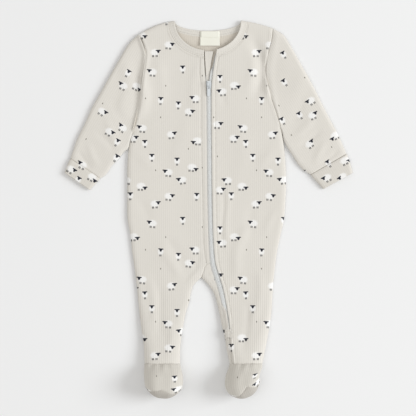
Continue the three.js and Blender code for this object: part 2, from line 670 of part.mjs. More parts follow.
function footPoint(hand, s, layer, across, open) {
  const foot = FEET[hand];
  const ring = Object.fromEntries(footColumns.map((name) => [name, footRing[name](s)]));
  const seam = ((layer === "vamp" ? 1 : -1) * FOLD_ROOM) / (ring.height - BACK_TOP);
  const share = mix(FOLD_SHARE + seam, layer === "vamp" ? 1 : 0, open);
  const past = mix(ring.heel, ring.top, share) - FOOT_PIVOT;
  const turn = toRadians(foot.turn) * ring.turned;
  const point = new THREE.Vector3(
    foot.x + foot.shift * ring.turned + across * Math.cos(turn) + past * Math.sin(turn),
    ANKLE_Y - FOOT_PIVOT + across * Math.sin(turn) - past * Math.cos(turn),
    mix(BACK_TOP, ring.height, share),
  );
  point.upright = open < UPRIGHT;
  return point;
}

function footGrid(hand, layer, steps) {
  const grid = [];
  for (let s = 0; s < FOOT_RINGS.length; s++) {
    const at = s === 0 && layer === "vamp" ? ANKLE_ROOM / FOOT_RINGS[1].top : s;
    const half = FEET[hand].halfWidth + footRing.widen(at);
    const roll = layer === "vamp" ? footRing.roll(at) : footRing.backRoll(at);
    const row = spread(steps, roll, roll, 2 * half).map((place) => {
      const open = rolled(Math.min(place, 2 * half - place) / roll);
      return footPoint(hand, at, layer, SIGN[hand] * (half - place), open);
    });
    grid.push(row);
  }
  return grid;
}

function footUpper(hand) {
  return wall([footGrid(hand, "vamp", FOOT_STEPS)], CLOTH);
}

// The sole: the last ring closed by a bulging cap that rests on the surface.
function footSole(hand) {
  const last = FOOT_RINGS.length - 1;
  const half = FEET[hand].halfWidth + FOOT_RINGS[last].widen;
  const edge = [];
  for (const [layer, back] of [["vamp", false], ["heel", true]]) {
    const roll = layer === "vamp" ? FOOT_RINGS[last].roll : FOOT_RINGS[last].backRoll;
    const places = spread(FOOT_STEPS, roll, roll, 2 * half);
    const ordered = back ? places.slice(1, -1).reverse() : places;
    for (const place of ordered) {
      const open = rolled(Math.min(place, 2 * half - place) / roll);
      edge.push(footPoint(hand, last, layer, SIGN[hand] * (half - place), open));
    }
  }
  edge.push(edge[0]);
  const top = footPoint(hand, last, "vamp", 0, 1);
  const heel = footPoint(hand, last, "heel", 0, 1);
  const middle = top.clone().add(heel).multiplyScalar(0.5);
  const turn = toRadians(FEET[hand].turn);
  const across = new THREE.Vector3(Math.cos(turn), Math.sin(turn), 0);
  const out = top.clone().sub(heel).cross(across).normalize();
  if (out.y > 0) out.negate();
  const rings = SOLE_RINGS.map((size) =>
    edge.map((point) => {
      const bulge = FEET[hand].bulge * (1 - size ** SOLE_ROUNDNESS) + SOLE_ROOM;
      const at = middle.clone().lerp(point, size).addScaledVector(out, bulge);
      at.z = Math.max(BACK_TOP, at.z);
      return at;
    }),
  );
  const tip = middle.clone().addScaledVector(out, FEET[hand].bulge + SOLE_ROOM);
  rings.push(edge.map(() => tip));
  return wall([rings], CLOTH);
}

// The neck binding: one strip from the zip round the back of the neck and down to the zip.
function neckBinding() {
  const across = [0, 0.33, 0.67, 1].map((t) => t * NECK.binding);
  const front = (hand) =>
    YOKE_STEPS.map((t) =>
      across.map((width) => neckPoint(hand, NECK.front, width, neckEnd(hand, width) * t)),
    );
  const back = (hand) =>
    Array.from({ length: BACK_NECK_STEPS + 1 }, (_, i) => {
      const angle = ((i / BACK_NECK_STEPS) * Math.PI) / 2;
      return across.map((width) => neckPoint(hand, NECK.back, width, angle));
    });
  const grids = [];
  for (const hand of ["right", "left"]) {
    const fold = (height) => (plan) =>
      laid(height, plan).map((row, j) =>
        row.map((point) => {
          if (j === 0) point.z = foldHeight(point.y);
          point.upright = j === 0;
          return point;
        }),
      );
    const rows = [
      ...fold(frontHeight)(front(hand)).reverse(),
      ...fold(backHeight)(back(hand)).slice(1),
    ];
    grids.push(hand === "right" ? rows : mirrored(rows));
  }
  return wall(grids, CLOTH);
}

// A point carried on the front layer, moved out of it along its normal.
function onFront(x, y, out) {
  const step = 0.05;
  const slopeX = (frontHeight(x + step, y) - frontHeight(x - step, y)) / (2 * step);
  const slopeY = (frontHeight(x, y + step) - frontHeight(x, y - step)) / (2 * step);
  const normal = new THREE.Vector3(-slopeX, -slopeY, 1).normalize();
  return new THREE.Vector3(x, y, frontHeight(x, y)).addScaledVector(normal, out);
}

// How much wider a distance from the chain is when it is measured straight across the body.
function slantOf(hand, y) {
  return Math.hypot(1, (chain[hand](y + 1) - chain[hand](y - 1)) / 2);
}

function zipTape(hand) {
  const under = -(CLOTH / 2 + TAPE_ROOM + TAPE / 2);
  const levels = [TAPES.top, ...ZIP_LEVELS, TAPES.bottom];
  const rows = levels.map((y) => {
    const inLeg = hand === "right" && y < STRIP_TOP_Y;
    const room = inLeg ? chain.right(y) - stripInnerEdge(y) - TAPES.fromLegEdge : TAPE_WIDTH;
    const width = Math.min(TAPE_WIDTH, room);
    return [TAPES.inner, width / 2, width].map((from) => {
      const x = chain[hand](y) + SIGN[hand] * from * slantOf(hand, y);
      return onFront(x, y, under);
    });
  });
  return wall([rows], TAPE);
}

// One half of the chain: a plain ridge where the teeth are.
function coil(hand) {
  const levels = ZIP_LEVELS.filter((y) => y <= COIL.from && y >= COIL.to);
  const rings = levels.map((y) => {
    const outer = Math.min(COIL.width, clothFromChain[hand](y) - COIL.fromCloth);
    const section = [
      [CHAIN_HALF_GAP, COIL.under],
      [outer, COIL.under],
      [outer, COIL.shoulder],
      [outer * COIL.crown, COIL.top],
      [CHAIN_HALF_GAP, COIL.top],
    ];
    const middle = chain[hand](y);
    const frame = [onFront(middle, y, 0), onFront(middle, y, 1)];
    const up = frame[1].sub(frame[0]);
    const slide = new THREE.Vector3(up.z, 0, -up.x).multiplyScalar(SIGN[hand] * slantOf(hand, y));
    return section.map(([across, high]) =>
      frame[0].clone().addScaledVector(slide, across).addScaledVector(up, high),
    );
  });
  return sweep(rings);
}

// A closed solid from rings of corners, with a flat cap at each end.
function sweep(rings) {
  const count = rings[0].length;
  const faces = [];
  for (let j = 0; j + 1 < rings.length; j++)
    for (let i = 0; i < count; i++) {
      const [a, b] = [j * count + i, j * count + ((i + 1) % count)];
      faces.push([a, b, b + count], [a, b + count, a + count]);
    }
  const last = (rings.length - 1) * count;
  for (let i = 1; i + 1 < count; i++)
    faces.push([0, i + 1, i], [last, last + i, last + i + 1]);
  return solid(rings.flat(), faces);
}

function zipGuard() {
  const rows = [0, 0.2, 0.4, 0.6, 0.8, 1].map((t) => {
    const y = mix(GUARD.top, GUARD.bottom, t);
    return [0, 0.25, 0.5, 0.75, 1].map(
      (share) => new THREE.Vector3(mix(GUARD.right, GUARD.left, share), y, GUARD.height),
    );
  });
  return wall([rows], GUARD_CLOTH);
}

// Flat plates and bars, cut from an outline and joined into one solid
function plate(outline, thickness, holes = []) {
  const shape = new THREE.Shape(outline.map(([a, b]) => new THREE.Vector2(a, b)));
  shape.holes = holes.map((hole) => new THREE.Path(hole.map(([a, b]) => new THREE.Vector2(a, b))));
  return new THREE.ExtrudeGeometry(shape, { depth: thickness, bevelEnabled: false });
}

function joined(geometries) {
  const solids = geometries.map((geometry) => {
    const bare = new THREE.BufferGeometry();
    bare.setAttribute("position", geometry.attributes.position);
    const merged = mergeVertices(bare, 1e-4);
    return new wasm.Manifold(
      new wasm.Mesh({
        numProp: 3,
        vertProperties: merged.attributes.position.array,
        triVerts: new Uint32Array(merged.index.array),
      }),
    );
  });
  const mesh = solids.reduce((a, b) => a.add(b)).getMesh();
  const geometry = new THREE.BufferGeometry();
  geometry.setAttribute("position", new THREE.BufferAttribute(mesh.vertProperties, 3));
  geometry.setIndex([...mesh.triVerts]);
  geometry.computeVertexNormals();
  return geometry;
}

const sliderTop = () => frontHeight(SLIDER.x, SLIDER.from) + COIL.top + SEAM + SLIDER.room;

// The slider: a plate over the chain, one under the tapes, the post between them and the bridge.
function zipSlider() {
  const bottom = frontHeight(SLIDER.x, SLIDER.from) - (CLOTH / 2 + TAPE_ROOM + TAPE + SEAM);
  const halfOutline = [
    [SLIDER.narrow / 2, SLIDER.from],
    [SLIDER.wide / 2, SLIDER.to - SLIDER.shoulder],
    [SLIDER.wide / 2 - SLIDER.cornerWidth, SLIDER.to - SLIDER.corner],
    [SLIDER.nose / 2, SLIDER.to],
  ];
  const outline = [
    ...halfOutline.map(([x, y]) => [SLIDER.x + x, y]),
    ...halfOutline.map(([x, y]) => [SLIDER.x - x, y]).reverse(),
  ];
  const over = plate(outline, SLIDER.plate).translate(0, 0, sliderTop());
  const under = plate(outline, SLIDER.under).translate(0, 0, bottom - SLIDER.under);
  const half = POST.width / 2;
  const postTop = SLIDER.to - POST.fromNose;
  const post = plate(
    [
      [SLIDER.x - half, postTop - POST.length],
      [SLIDER.x + half, postTop - POST.length],
      [SLIDER.x + half, postTop],
      [SLIDER.x - half, postTop],
    ],
    sliderTop() - bottom + SLIDER.plate,
  ).translate(0, 0, bottom - SLIDER.plate / 2);
  const foot = -SLIDER.plate / 2;
  const { from, to, height, wall: thick, corner } = BRIDGE;
  const arch = plate(
    [
      [from, foot], [from, height - corner], [from + corner, height], [to - corner, height],
      [to, height - corner], [to, foot], [to - thick, foot], [to - thick, height - thick],
      [from + thick, height - thick], [from + thick, foot],
    ],
    BRIDGE.width,
  );
  arch.applyMatrix4(new THREE.Matrix4().set(0, 0, 1, 0, 1, 0, 0, 0, 0, 1, 0, 0, 0, 0, 0, 1));
  arch.translate(SLIDER.x - BRIDGE.width / 2, 0, sliderTop() + SLIDER.plate);
  return joined([over, under, post, arch]);
}

// The pull tab: a plate with an eye, whose end bar turns under the slider's bridge.
function zipPull() {
  const half = PULL.width / 2;
  const eye = half - PULL.rim;
  const [corner, end] = [PULL.corner, -PULL.length];
  const tab = plate(
    [
      [-half, PULL_EYE.from], [-half, end + corner], [corner - half, end],
      [half - corner, end], [half, end + corner], [half, PULL_EYE.from],
    ],
    PULL.thickness,
    [[[-eye, -PULL_EYE.from], [-eye, -PULL_EYE.to], [eye, -PULL_EYE.to], [eye, -PULL_EYE.from]]],
  );
  tab.translate(0, 0, -PULL.thickness / 2).rotateX(toRadians(PULL.slope));
  return tab.translate(SLIDER.x, PULL.y, sliderTop() + SLIDER.plate + PULL.lift);
}

function zipEndTab() {
  const out = COIL.top + SEAM + TAB_CLOTH / 2;
  const rows = [0, 0.33, 0.67, 1].map((t) => {
    const y = mix(END_TAB.from, END_TAB.to, t);
    const past = Math.max(0, ZIP_END_Y - y);
    const middle = chain.left(y + past) + past * END_TAB.lean;
    return END_TAB.across.map((from) => onFront(middle + from, y, out));
  });
  return wall([rows], TAB_CLOTH);
}

function label(size) {
  const { right, left, top, bottom, height } = LABELS[size];
  const rows = [0, 0.2, 0.4, 0.6, 0.8, 1].map((t) => {
    const y = mix(top, bottom, t);
    const share = (top - y) / (LABELS.long.top - LABELS.long.bottom);
    return [0, 0.5, 1].map(
      (s) => new THREE.Vector3(mix(right, left, s), y, height + LABEL_LIFT * share ** 2),
    );
  });
  return wall([rows], LABEL);
}

// Finishes and the finished garment
const finish = {
  jersey: { color: 0xdfdbd3, roughness: 0.95, metalness: 0 },
  tape: { color: 0xcfd0cd, roughness: 0.85, metalness: 0 },
  nylon: { color: 0xc6c9c9, roughness: 0.5, metalness: 0 },
  enamel: { color: 0xd2d4d3, roughness: 0.4, metalness: 0.2 },
  satin: { color: 0xf2f0e5, roughness: 0.7, metalness: 0 },
};

function named(name, geometry, look) {
  const material = new THREE.MeshStandardMaterial({ name: look, ...finish[look] });
  const mesh = new THREE.Mesh(geometry, material);
  mesh.name = name;
  return mesh;
}

const sleepsuit = new THREE.Group();
sleepsuit.name = "sleepsuit";
sleepsuit.add(named("back_panel", backPanel(), "jersey"));
for (const hand of ["right", "left"]) {
  sleepsuit.add(named(`front_${hand}_panel`, frontPanel(hand), "jersey"));
  sleepsuit.add(named(`sleeve_${hand}`, sleeve(hand), "jersey"));
  sleepsuit.add(named(`cuff_${hand}`, cuff(hand), "jersey"));
  sleepsuit.add(named(`foot_upper_${hand}`, footUpper(hand), "jersey"));
  sleepsuit.add(named(`foot_sole_${hand}`, footSole(hand), "jersey"));
  sleepsuit.add(named(`zip_tape_${hand}`, zipTape(hand), "tape"));
  sleepsuit.add(named(`zip_coil_${hand}`, coil(hand), "nylon"));
}
sleepsuit.add(named("inner_leg_strip", innerStrip(), "jersey"));
sleepsuit.add(named("neck_binding", neckBinding(), "jersey"));
sleepsuit.add(named("zip_guard", zipGuard(), "jersey"));
sleepsuit.add(named("zip_end_tab", zipEndTab(), "jersey"));
sleepsuit.add(named("zip_slider", zipSlider(), "enamel"));
sleepsuit.add(named("zip_pull", zipPull(), "enamel"));
sleepsuit.add(named("label_long", label("long"), "satin"));
sleepsuit.add(named("label_short", label("short"), "satin"));

export default sleepsuit;
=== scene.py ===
# %% [markdown]
# # A footed baby sleepsuit, laid flat on its back
# A sleepsuit is a handful of flat pieces of rib jersey sewn into a tube with feet. Laid out, it is
# two layers of cloth a few millimetres apart that turn over into each other at folded edges, and
# only the feet stand up. So every piece here is a thin wall on a surface z(x, y) or round a flat
# tube, worked out with numpy in millimetres and turned into metres when its mesh is made.

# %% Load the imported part
import math

import bpy
import numpy as np
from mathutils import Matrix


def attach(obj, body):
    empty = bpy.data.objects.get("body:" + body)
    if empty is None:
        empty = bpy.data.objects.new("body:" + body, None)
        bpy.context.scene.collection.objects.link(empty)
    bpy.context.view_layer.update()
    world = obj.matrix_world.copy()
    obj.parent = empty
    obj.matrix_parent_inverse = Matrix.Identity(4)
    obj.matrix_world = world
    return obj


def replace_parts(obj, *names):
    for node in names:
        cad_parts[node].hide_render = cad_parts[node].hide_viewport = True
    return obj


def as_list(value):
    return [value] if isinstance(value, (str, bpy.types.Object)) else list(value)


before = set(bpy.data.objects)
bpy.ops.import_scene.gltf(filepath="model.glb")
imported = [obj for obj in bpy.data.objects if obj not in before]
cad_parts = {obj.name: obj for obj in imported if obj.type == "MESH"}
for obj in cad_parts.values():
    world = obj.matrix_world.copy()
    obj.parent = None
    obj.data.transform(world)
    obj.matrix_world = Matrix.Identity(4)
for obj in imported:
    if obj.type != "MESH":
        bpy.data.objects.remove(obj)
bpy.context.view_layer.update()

# %% [markdown]
# ## Numbers and curves
# A pattern maker keeps a garment as a short table of widths. A smooth curve through each column
# then gives the edge at any height, for a whole array of heights at once.

# %% Curves through tables
SIGN = {"right": -1.0, "left": 1.0}


def table(columns, *rows):
    """Named columns from rows of numbers."""
    return dict(zip(columns.split(), np.array(rows, float).T))


def curve(of, name, key="y"):
    """A smooth curve through a column: cubic pieces, each slope taken between the rows
    beside it."""
    order = np.argsort(of[key])
    at_row, value = of[key][order], of[name][order]
    slope = np.gradient(value)
    slope[0] = (value[1] - value[0]) / (at_row[1] - at_row[0])
    slope[-1] = (value[-1] - value[-2]) / (at_row[-1] - at_row[-2])
    slope[1:-1] = (value[2:] - value[:-2]) / (at_row[2:] - at_row[:-2])

    def read(at):
        i = np.clip(np.searchsorted(at_row, at, side="right") - 1, 0, len(at_row) - 2)
        width = at_row[i + 1] - at_row[i]
        t = np.clip((at - at_row[i]) / width, 0, 1)
        return (
            (2 * t**3 - 3 * t**2 + 1) * value[i]
            + (t**3 - 2 * t**2 + t) * width * slope[i]
            + (3 * t**2 - 2 * t**3) * value[i + 1]
            + (t**3 - t**2) * width * slope[i + 1]
        )

    return read


def mix(a, b, t):
    return a + (b - a) * t


def smooth(t):
    """0 to 1 with level ends."""
    t = np.clip(t, 0, 1)
    return t * t * (3 - 2 * t)


def rolled(t):
    """A quarter of an ellipse: 0 and upright at a folded edge, 1 and level from t = 1 on."""
    return np.sqrt(1 - (1 - np.clip(t, 0, 1)) ** 2)


# %% [markdown]
# ## The sizes of the sleepsuit
# Millimetres from the middle of the garment: x to the wearer's left, y towards the neck. They are
# the same sizes as the part's, so each soft piece lies on the solid that it stands for.

# %% Sizes
CLOTH, CUFF_CLOTH, TAPE, BACK_TOP, FOLD_SHARE = 1.5, 2.2, 0.6, 0.75, 0.43
HEIGHTS = table(
    "y top roll back_roll",
    (-100, 5.0, 8, 8), (-150, 6.2, 10, 8), (-200, 11.0, 16, 10), (-244.6, 18.5, 24, 12),
)
SHOULDER = {
    "right": dict(tip=(-110.8, 276.6), neck=(-53.7, 298.3), bow=3.6),
    "left": dict(tip=(102.5, 286.0), neck=(51.3, 298.8), bow=1.6),
}
NECK = dict(x=-1.2, y=298.5, half_width=52.5, front=46.5, back=15.2, binding=10.0)
CROTCH = (-11.3, -106.8)
ANKLE_Y, YOKE_END_Y, ZIP_END_Y, STRIP_TOP_Y = -244.6, 236.0, -198.0, -86.0
SIDES = table(
    "y right left",
    (130, -118.0, 114.6), (110, -123.2, 117.4), (95, -126.0, 119.3), (75, -128.0, 121.2),
    (45, -128.2, 122.2), (15, -128.1, 121.3), (-15, -127.9, 118.8), (-40, -123.6, 113.6),
    (-65, -120.7, 108.2), (-90, -117.2, 104.8), (-120, -113.4, 101.4), (-150, -110.5, 99.8),
    (-180, -107.1, 96.8), (-214, -102.2, 90.5), (ANKLE_Y, -100.8, 84.5),
)
INNER_LEGS = table(
    "y right left",
    (CROTCH[1], CROTCH[0], CROTCH[0]), (-118, -23.2, -0.8), (-131, -28.6, 8.3),
    (-148, -31.8, 14.0), (-165, -37.2, 17.8), (-185, -41.0, 22.0), (-205, -44.0, 26.7),
    (-225, -45.9, 30.1), (ANKLE_Y, -45.6, 34.2),
)
ARMHOLES = table(
    "right_y right left_y left",
    (276.6, -110.8, 286.0, 102.5), (262.0, -104.8, 271.0, 101.2), (248.0, -100.6, 257.0, 97.4),
    (234.0, -101.6, 242.0, 93.7), (212.0, -104.8, 221.0, 91.2), (190.0, -107.4, 202.0, 93.7),
    (165.0, -111.0, 178.5, 99.4), (143.0, -115.6, 155.0, 107.6), (123.0, -120.8, 129.2, 115.7),
)
ARMPIT = {"right": (-119.9, 123.0), "left": (114.8, 129.2)}
SLEEVES = {
    "right": table(
        "outer_x outer_y inner_x inner_y row",
        (-110.8, 276.6, -121.8, 123.0, 0), (-126.0, 262.0, -125.4, 110.0, 1),
        (-141.5, 236.7, -128.0, 97.5, 2), (-156.0, 211.3, -135.4, 91.0, 3),
        (-170.2, 186.0, -143.2, 81.0, 4), (-184.5, 160.7, -153.4, 70.2, 5),
        (-195.8, 135.3, -160.2, 59.6, 6), (-208.3, 110.0, -165.8, 53.8, 7),
        (-218.6, 80.3, -172.4, 49.9, 8),
    ),
    "left": table(
        "outer_x outer_y inner_x inner_y row",
        (102.5, 286.0, 116.6, 129.2, 0), (119.1, 274.8, 118.4, 119.0, 1),
        (135.0, 249.5, 120.2, 109.0, 2), (149.2, 224.1, 127.0, 96.0, 3),
        (163.5, 198.7, 133.8, 85.6, 4), (176.2, 173.4, 141.6, 73.2, 5),
        (188.9, 148.0, 147.6, 66.4, 6), (204.4, 119.0, 153.8, 60.8, 7),
        (218.2, 87.6, 162.4, 55.6, 8),
    ),
}
CUFFS = {
    "right": table(
        "outer_x outer_y inner_x inner_y row",
        (-218.7, 79.9, -172.9, 49.6, 0), (-223.6, 69.4, -181.4, 40.2, 1),
        (-227.6, 57.6, -189.0, 31.2, 2),
    ),
    "left": table(
        "outer_x outer_y inner_x inner_y row",
        (218.4, 87.2, 162.7, 55.2, 0), (223.6, 73.0, 173.0, 43.6, 1),
        (227.6, 57.4, 182.8, 32.8, 2),
    ),
}
CHAIN = table(
    "y right left cloth_right cloth_left",
    (253, -5.4, 10.2, 2.2, 2.8), (237, -5.0, 6.2, 2.0, 4.0), (218, -3.6, 3.0, 2.4, 4.4),
    (205, -1.4, 1.4, 3.4, 4.3), (196, 0.3, 0.7, 4.15, 4.15), (192, 0.52, 0.52, 4.15, 4.15),
    (110, 1.1, 1.1, 4.15, 4.15), (15, 2.1, 2.1, 4.15, 4.15), (-50, 4.0, 4.0, 4.15, 4.15),
    (-85, 6.8, 6.8, 4.5, 4.5), (-104, 12.1, 12.1, 4.6, 4.6), (-126, 19.0, 19.0, 4.4, 4.4),
    (-152, 24.4, 24.4, 3.4, 4.3), (-176, 28.4, 28.4, 3.0, 4.2), (-198, 31.3, 31.3, 3.6, 4.15),
)
CROTCH_SEAM = table("y x", (-84, 2.4), (-90, -5.6), (-98, -8.2), (CROTCH[1], CROTCH[0]))
ANKLE_SEAM = table("y x", (-206, 33.4), (-225, 35.6), (ANKLE_Y, 38.6))
print("sleepsuit", round(NECK["y"] - ANKLE_Y), "mm from neck to ankle")

# %% [markdown]
# ## Soft folds
# Jersey never lies quite flat: it buckles softly beside seams, over the chest and at the elbows.
# Each fold is one row: a line, a width and a height, negative for a trough. They differ from side
# to side, as they do on cloth that someone has smoothed out.

# %% Folds
FOLD_COLUMNS = "x0 y0 x1 y1 width height"
BODY_FOLDS = table(
    FOLD_COLUMNS,
    (77, 276, 81, 176, 10, -3.4), (66, 262, 69, 184, 9, 0.9), (91, 252, 97, 172, 6, 1.8),
    (-74, 245, -78, 165, 9, 0.8), (-101, 260, -111, 140, 10, 3.4), (-84, 262, -90, 150, 24, 1.8),
    (22, 36, 23, -66, 3.6, -0.7), (29, 40, 31, -58, 5, 0.5), (62, -20, 36, -112, 9, 1.3),
    (76, 12, 60, -52, 9, -0.8), (-84, -60, -36, -108, 8, 1.1), (-70, -44, -30, -86, 7, -0.8),
    (-98, -100, -80, -190, 8, 1.0), (-84, -120, -72, -200, 7, -0.9), (84, -96, 70, -190, 8, 1.1),
    (60, -150, 58, -226, 6, -0.9), (-60, -168, -64, -232, 6, 0.8), (-112, 96, -84, 60, 9, 0.9),
    (106, 104, 84, 58, 9, 0.9), (-116, 20, -92, -26, 8, -0.7), (106, 6, 92, -44, 7, 0.7),
    (-40, 150, -46, 60, 12, 0.5), (46, 140, 52, 40, 12, 0.5), (-20, 236, -24, 150, 7, 0.5),
    (20, 225, 22, 160, 5, -0.5), (-14, -92, -34, -116, 4, 0.8), (-12, -70, -22, -100, 4, -0.6),
)
SLEEVE_FOLDS = table(
    FOLD_COLUMNS,
    (104, 250, 110, 180, 9, -1.4), (136, 226, 142, 172, 17, 3.0), (132, 112, 168, 150, 7, 1.1),
    (144, 98, 178, 128, 5, -0.9), (166, 74, 190, 108, 6, 1.0), (126, 132, 152, 176, 8, -0.8),
    (176, 70, 206, 96, 4, -0.8), (-113, 256, -123, 134, 8, -1.8), (-130, 236, -140, 150, 8, 0.9),
    (-140, 106, -166, 142, 7, 1.1), (-150, 92, -178, 124, 5, -0.9), (-172, 68, -192, 104, 6, 1.0),
    (-184, 66, -208, 92, 4, -0.8), (-130, 124, -150, 176, 8, -0.7),
)


def lift(folds, x, y):
    """The sum over the folds of height times a bell across the line, faded at both ends."""
    total = np.zeros(np.broadcast(x, y).shape)
    for x0, y0, x1, y1, width, height in zip(*folds.values()):
        dx, dy = x1 - x0, y1 - y0
        length = math.hypot(dx, dy)
        along = ((x - x0) * dx + (y - y0) * dy) / length
        sway = 0.5 * width * np.sin(along / 17 + x0)
        across = ((x - x0) * dy - (y - y0) * dx) / length - sway
        fade = smooth((along + width) / (4 * width)) * smooth((length + width - along) / (4 * width))
        total += height * fade * np.exp(-((across / width) ** 2))
    return total


def unevenness(x, y):
    """A few slow waves in different directions, as cloth has that was smoothed by hand."""
    return (
        0.22 * np.sin(x / 19 + y / 47 + 1.0)
        + 0.2 * np.sin(x / 41 - y / 29)
        + 0.14 * np.sin(x / 11 + y / 83 + 2.0)
        + 0.1 * np.sin(y / 13 - x / 37)
    )


# %% [markdown]
# ## The two layers of the body
# Away from its edges the back lies on the surface and the front lies over it. At the shoulders,
# the sides, the armpits and the legs both turn over to one height, where they are sewn or folded.

# %% Heights of the front and the back
side = {h: curve(SIDES, h) for h in SIGN}
inner_leg = {h: curve(INNER_LEGS, h) for h in SIGN}
armhole = {h: curve(ARMHOLES, h, h + "_y") for h in SIGN}
armhole_top = {h: ARMHOLES[h + "_y"][0] for h in SIGN}
chain = {h: curve(CHAIN, h) for h in SIGN}
cloth_from_chain = {h: curve(CHAIN, "cloth_" + h) for h in SIGN}
crotch_seam, ankle_seam = curve(CROTCH_SEAM, "x"), curve(ANKLE_SEAM, "x")
top_of, roll_of, back_roll_of = (curve(HEIGHTS, n) for n in ("top", "roll", "back_roll"))


def shoulder_y(x):
    """The shoulder fold: a line from armhole to neck, raised by a parabola in its middle."""
    parts = []
    for s in SHOULDER.values():
        t = np.clip((x - s["tip"][0]) / (s["neck"][0] - s["tip"][0]), 0, 1)
        parts.append(mix(s["tip"][1], s["neck"][1], t) + s["bow"] * 4 * t * (1 - t))
    return np.where(x < NECK["x"], *parts)


def turned_flat(x, y, roll):
    """0 on a folded edge and 1 away from it: the product of a quarter ellipse from each edge."""
    flat = rolled((shoulder_y(x) - y) / roll)
    for hand, sign in SIGN.items():
        pit_x, pit_y = ARMPIT[hand]
        room = np.where(y > pit_y, np.hypot(x - pit_x, y - pit_y), sign * (side[hand](y) - x))
        flat = flat * rolled(room / roll)
    middle = (inner_leg["right"](y) + inner_leg["left"](y)) / 2
    leg = np.where(x < middle, inner_leg["right"](y) - x, x - inner_leg["left"](y))
    return flat * rolled(np.where(y > CROTCH[1], np.hypot(x - CROTCH[0], y - CROTCH[1]), leg) / roll)


def fold_height(y):
    return mix(BACK_TOP, top_of(y), FOLD_SHARE)


def front_height(x, y):
    """The front's middle surface: its level, the rise at the open zip and the soft folds."""
    near_zip = np.exp(-(((x - chain["right"](y)) / 25) ** 2)) * smooth((y - 120) / 60)
    top = top_of(y) + 1.2 * near_zip + lift(BODY_FOLDS, x, y) + unevenness(x, y)
    return mix(fold_height(y), top, turned_flat(x, y, roll_of(y)))


def back_height(x, y):
    """The back's middle surface: level on the table until it turns up at its edges."""
    return mix(fold_height(y), BACK_TOP, turned_flat(x, y, back_roll_of(y)))


# %% [markdown]
# ## Making cloth
# Every sheet is the same job: join its grids of middle points, give them a thickness along their
# normals, and close the free edges. The outside and the inside are separate finishes, because the
# print is on the outside only. The grain, in millimetres of cloth, is kept as a UV map.

# %% A wall of cloth
PIECES = {}


def triangles_of(rows, columns, first):
    """Two triangles for each cell of a grid of points numbered row by row from first."""
    i = first + np.arange(rows * columns).reshape(rows, columns)
    a, b, c, d = i[:-1, :-1], i[:-1, 1:], i[1:, 1:], i[1:, :-1]
    return np.stack([a, b, c, a, c, d], -1).reshape(-1, 3)


def make_mesh(name, points, faces, grain=None, finish_of_face=None, finishes=()):
    """A mesh object in metres from points in millimetres; grain is given for each corner."""
    mesh = bpy.data.meshes.new(name)
    mesh.from_pydata((points / 1000).tolist(), [], faces.tolist())
    if grain is not None:
        layer = mesh.uv_layers.new(name="grain")
        layer.data.foreach_set("uv", grain.reshape(-1).astype(np.float32))
    for finish in finishes:
        mesh.materials.append(finish)
    if finish_of_face is not None:
        mesh.polygons.foreach_set("material_index", finish_of_face.astype(np.int32))
    mesh.polygons.foreach_set("use_smooth", np.ones(len(faces), bool))
    mesh.update()
    made = bpy.data.objects.new(name, mesh)
    bpy.context.scene.collection.objects.link(made)
    return made


def grid_size(points):
    """The longest row and the longest column of a grid, in millimetres."""
    return [int(np.linalg.norm(np.diff(points, axis=k), axis=-1).sum(k).max()) for k in (1, 0)]


def welded(grids):
    """Several grids as one sheet: its points, and for each triangle's corner the grain's number
    and the point's number. Points within a hundredth of a millimetre are one."""
    points = np.concatenate([p.reshape(-1, 3) for p, _ in grids])
    starts = np.cumsum([0] + [p[..., 0].size for p, _ in grids])
    corners = np.concatenate([triangles_of(*p.shape[:2], s) for (p, _), s in zip(grids, starts)])
    _, first, same = np.unique(
        np.round(points * 100), axis=0, return_index=True, return_inverse=True
    )
    joined = same.reshape(-1)[corners]
    kept = (joined != np.roll(joined, 1, 1)).all(1)
    return points[first], corners[kept], joined[kept]


def face_normals(middle, joined):
    """Each triangle's edge vectors crossed, and its centre."""
    a, b, c = (middle[joined[:, k]] for k in range(3))
    return np.cross(b - a, c - a), (a + b + c) / 3


def point_normals(middle, joined, face_normal):
    """The sum of the normals of the triangles round each point, made one long."""
    normal = np.zeros_like(middle)
    for k in range(3):
        np.add.at(normal, joined[:, k], face_normal)
    return normal / np.maximum(np.linalg.norm(normal, axis=1, keepdims=True), 1e-12)


def free_edges(corners, joined, count):
    """Edges that only one triangle has, as point numbers and as grain numbers."""
    edges = np.concatenate([joined[:, [0, 1]], joined[:, [1, 2]], joined[:, [2, 0]]])
    edge_corners = np.concatenate([corners[:, [0, 1]], corners[:, [1, 2]], corners[:, [2, 0]]])
    free = ~np.isin(edges @ (count, 1), edges @ (1, count))
    return edges[free].T, edge_corners[free].T


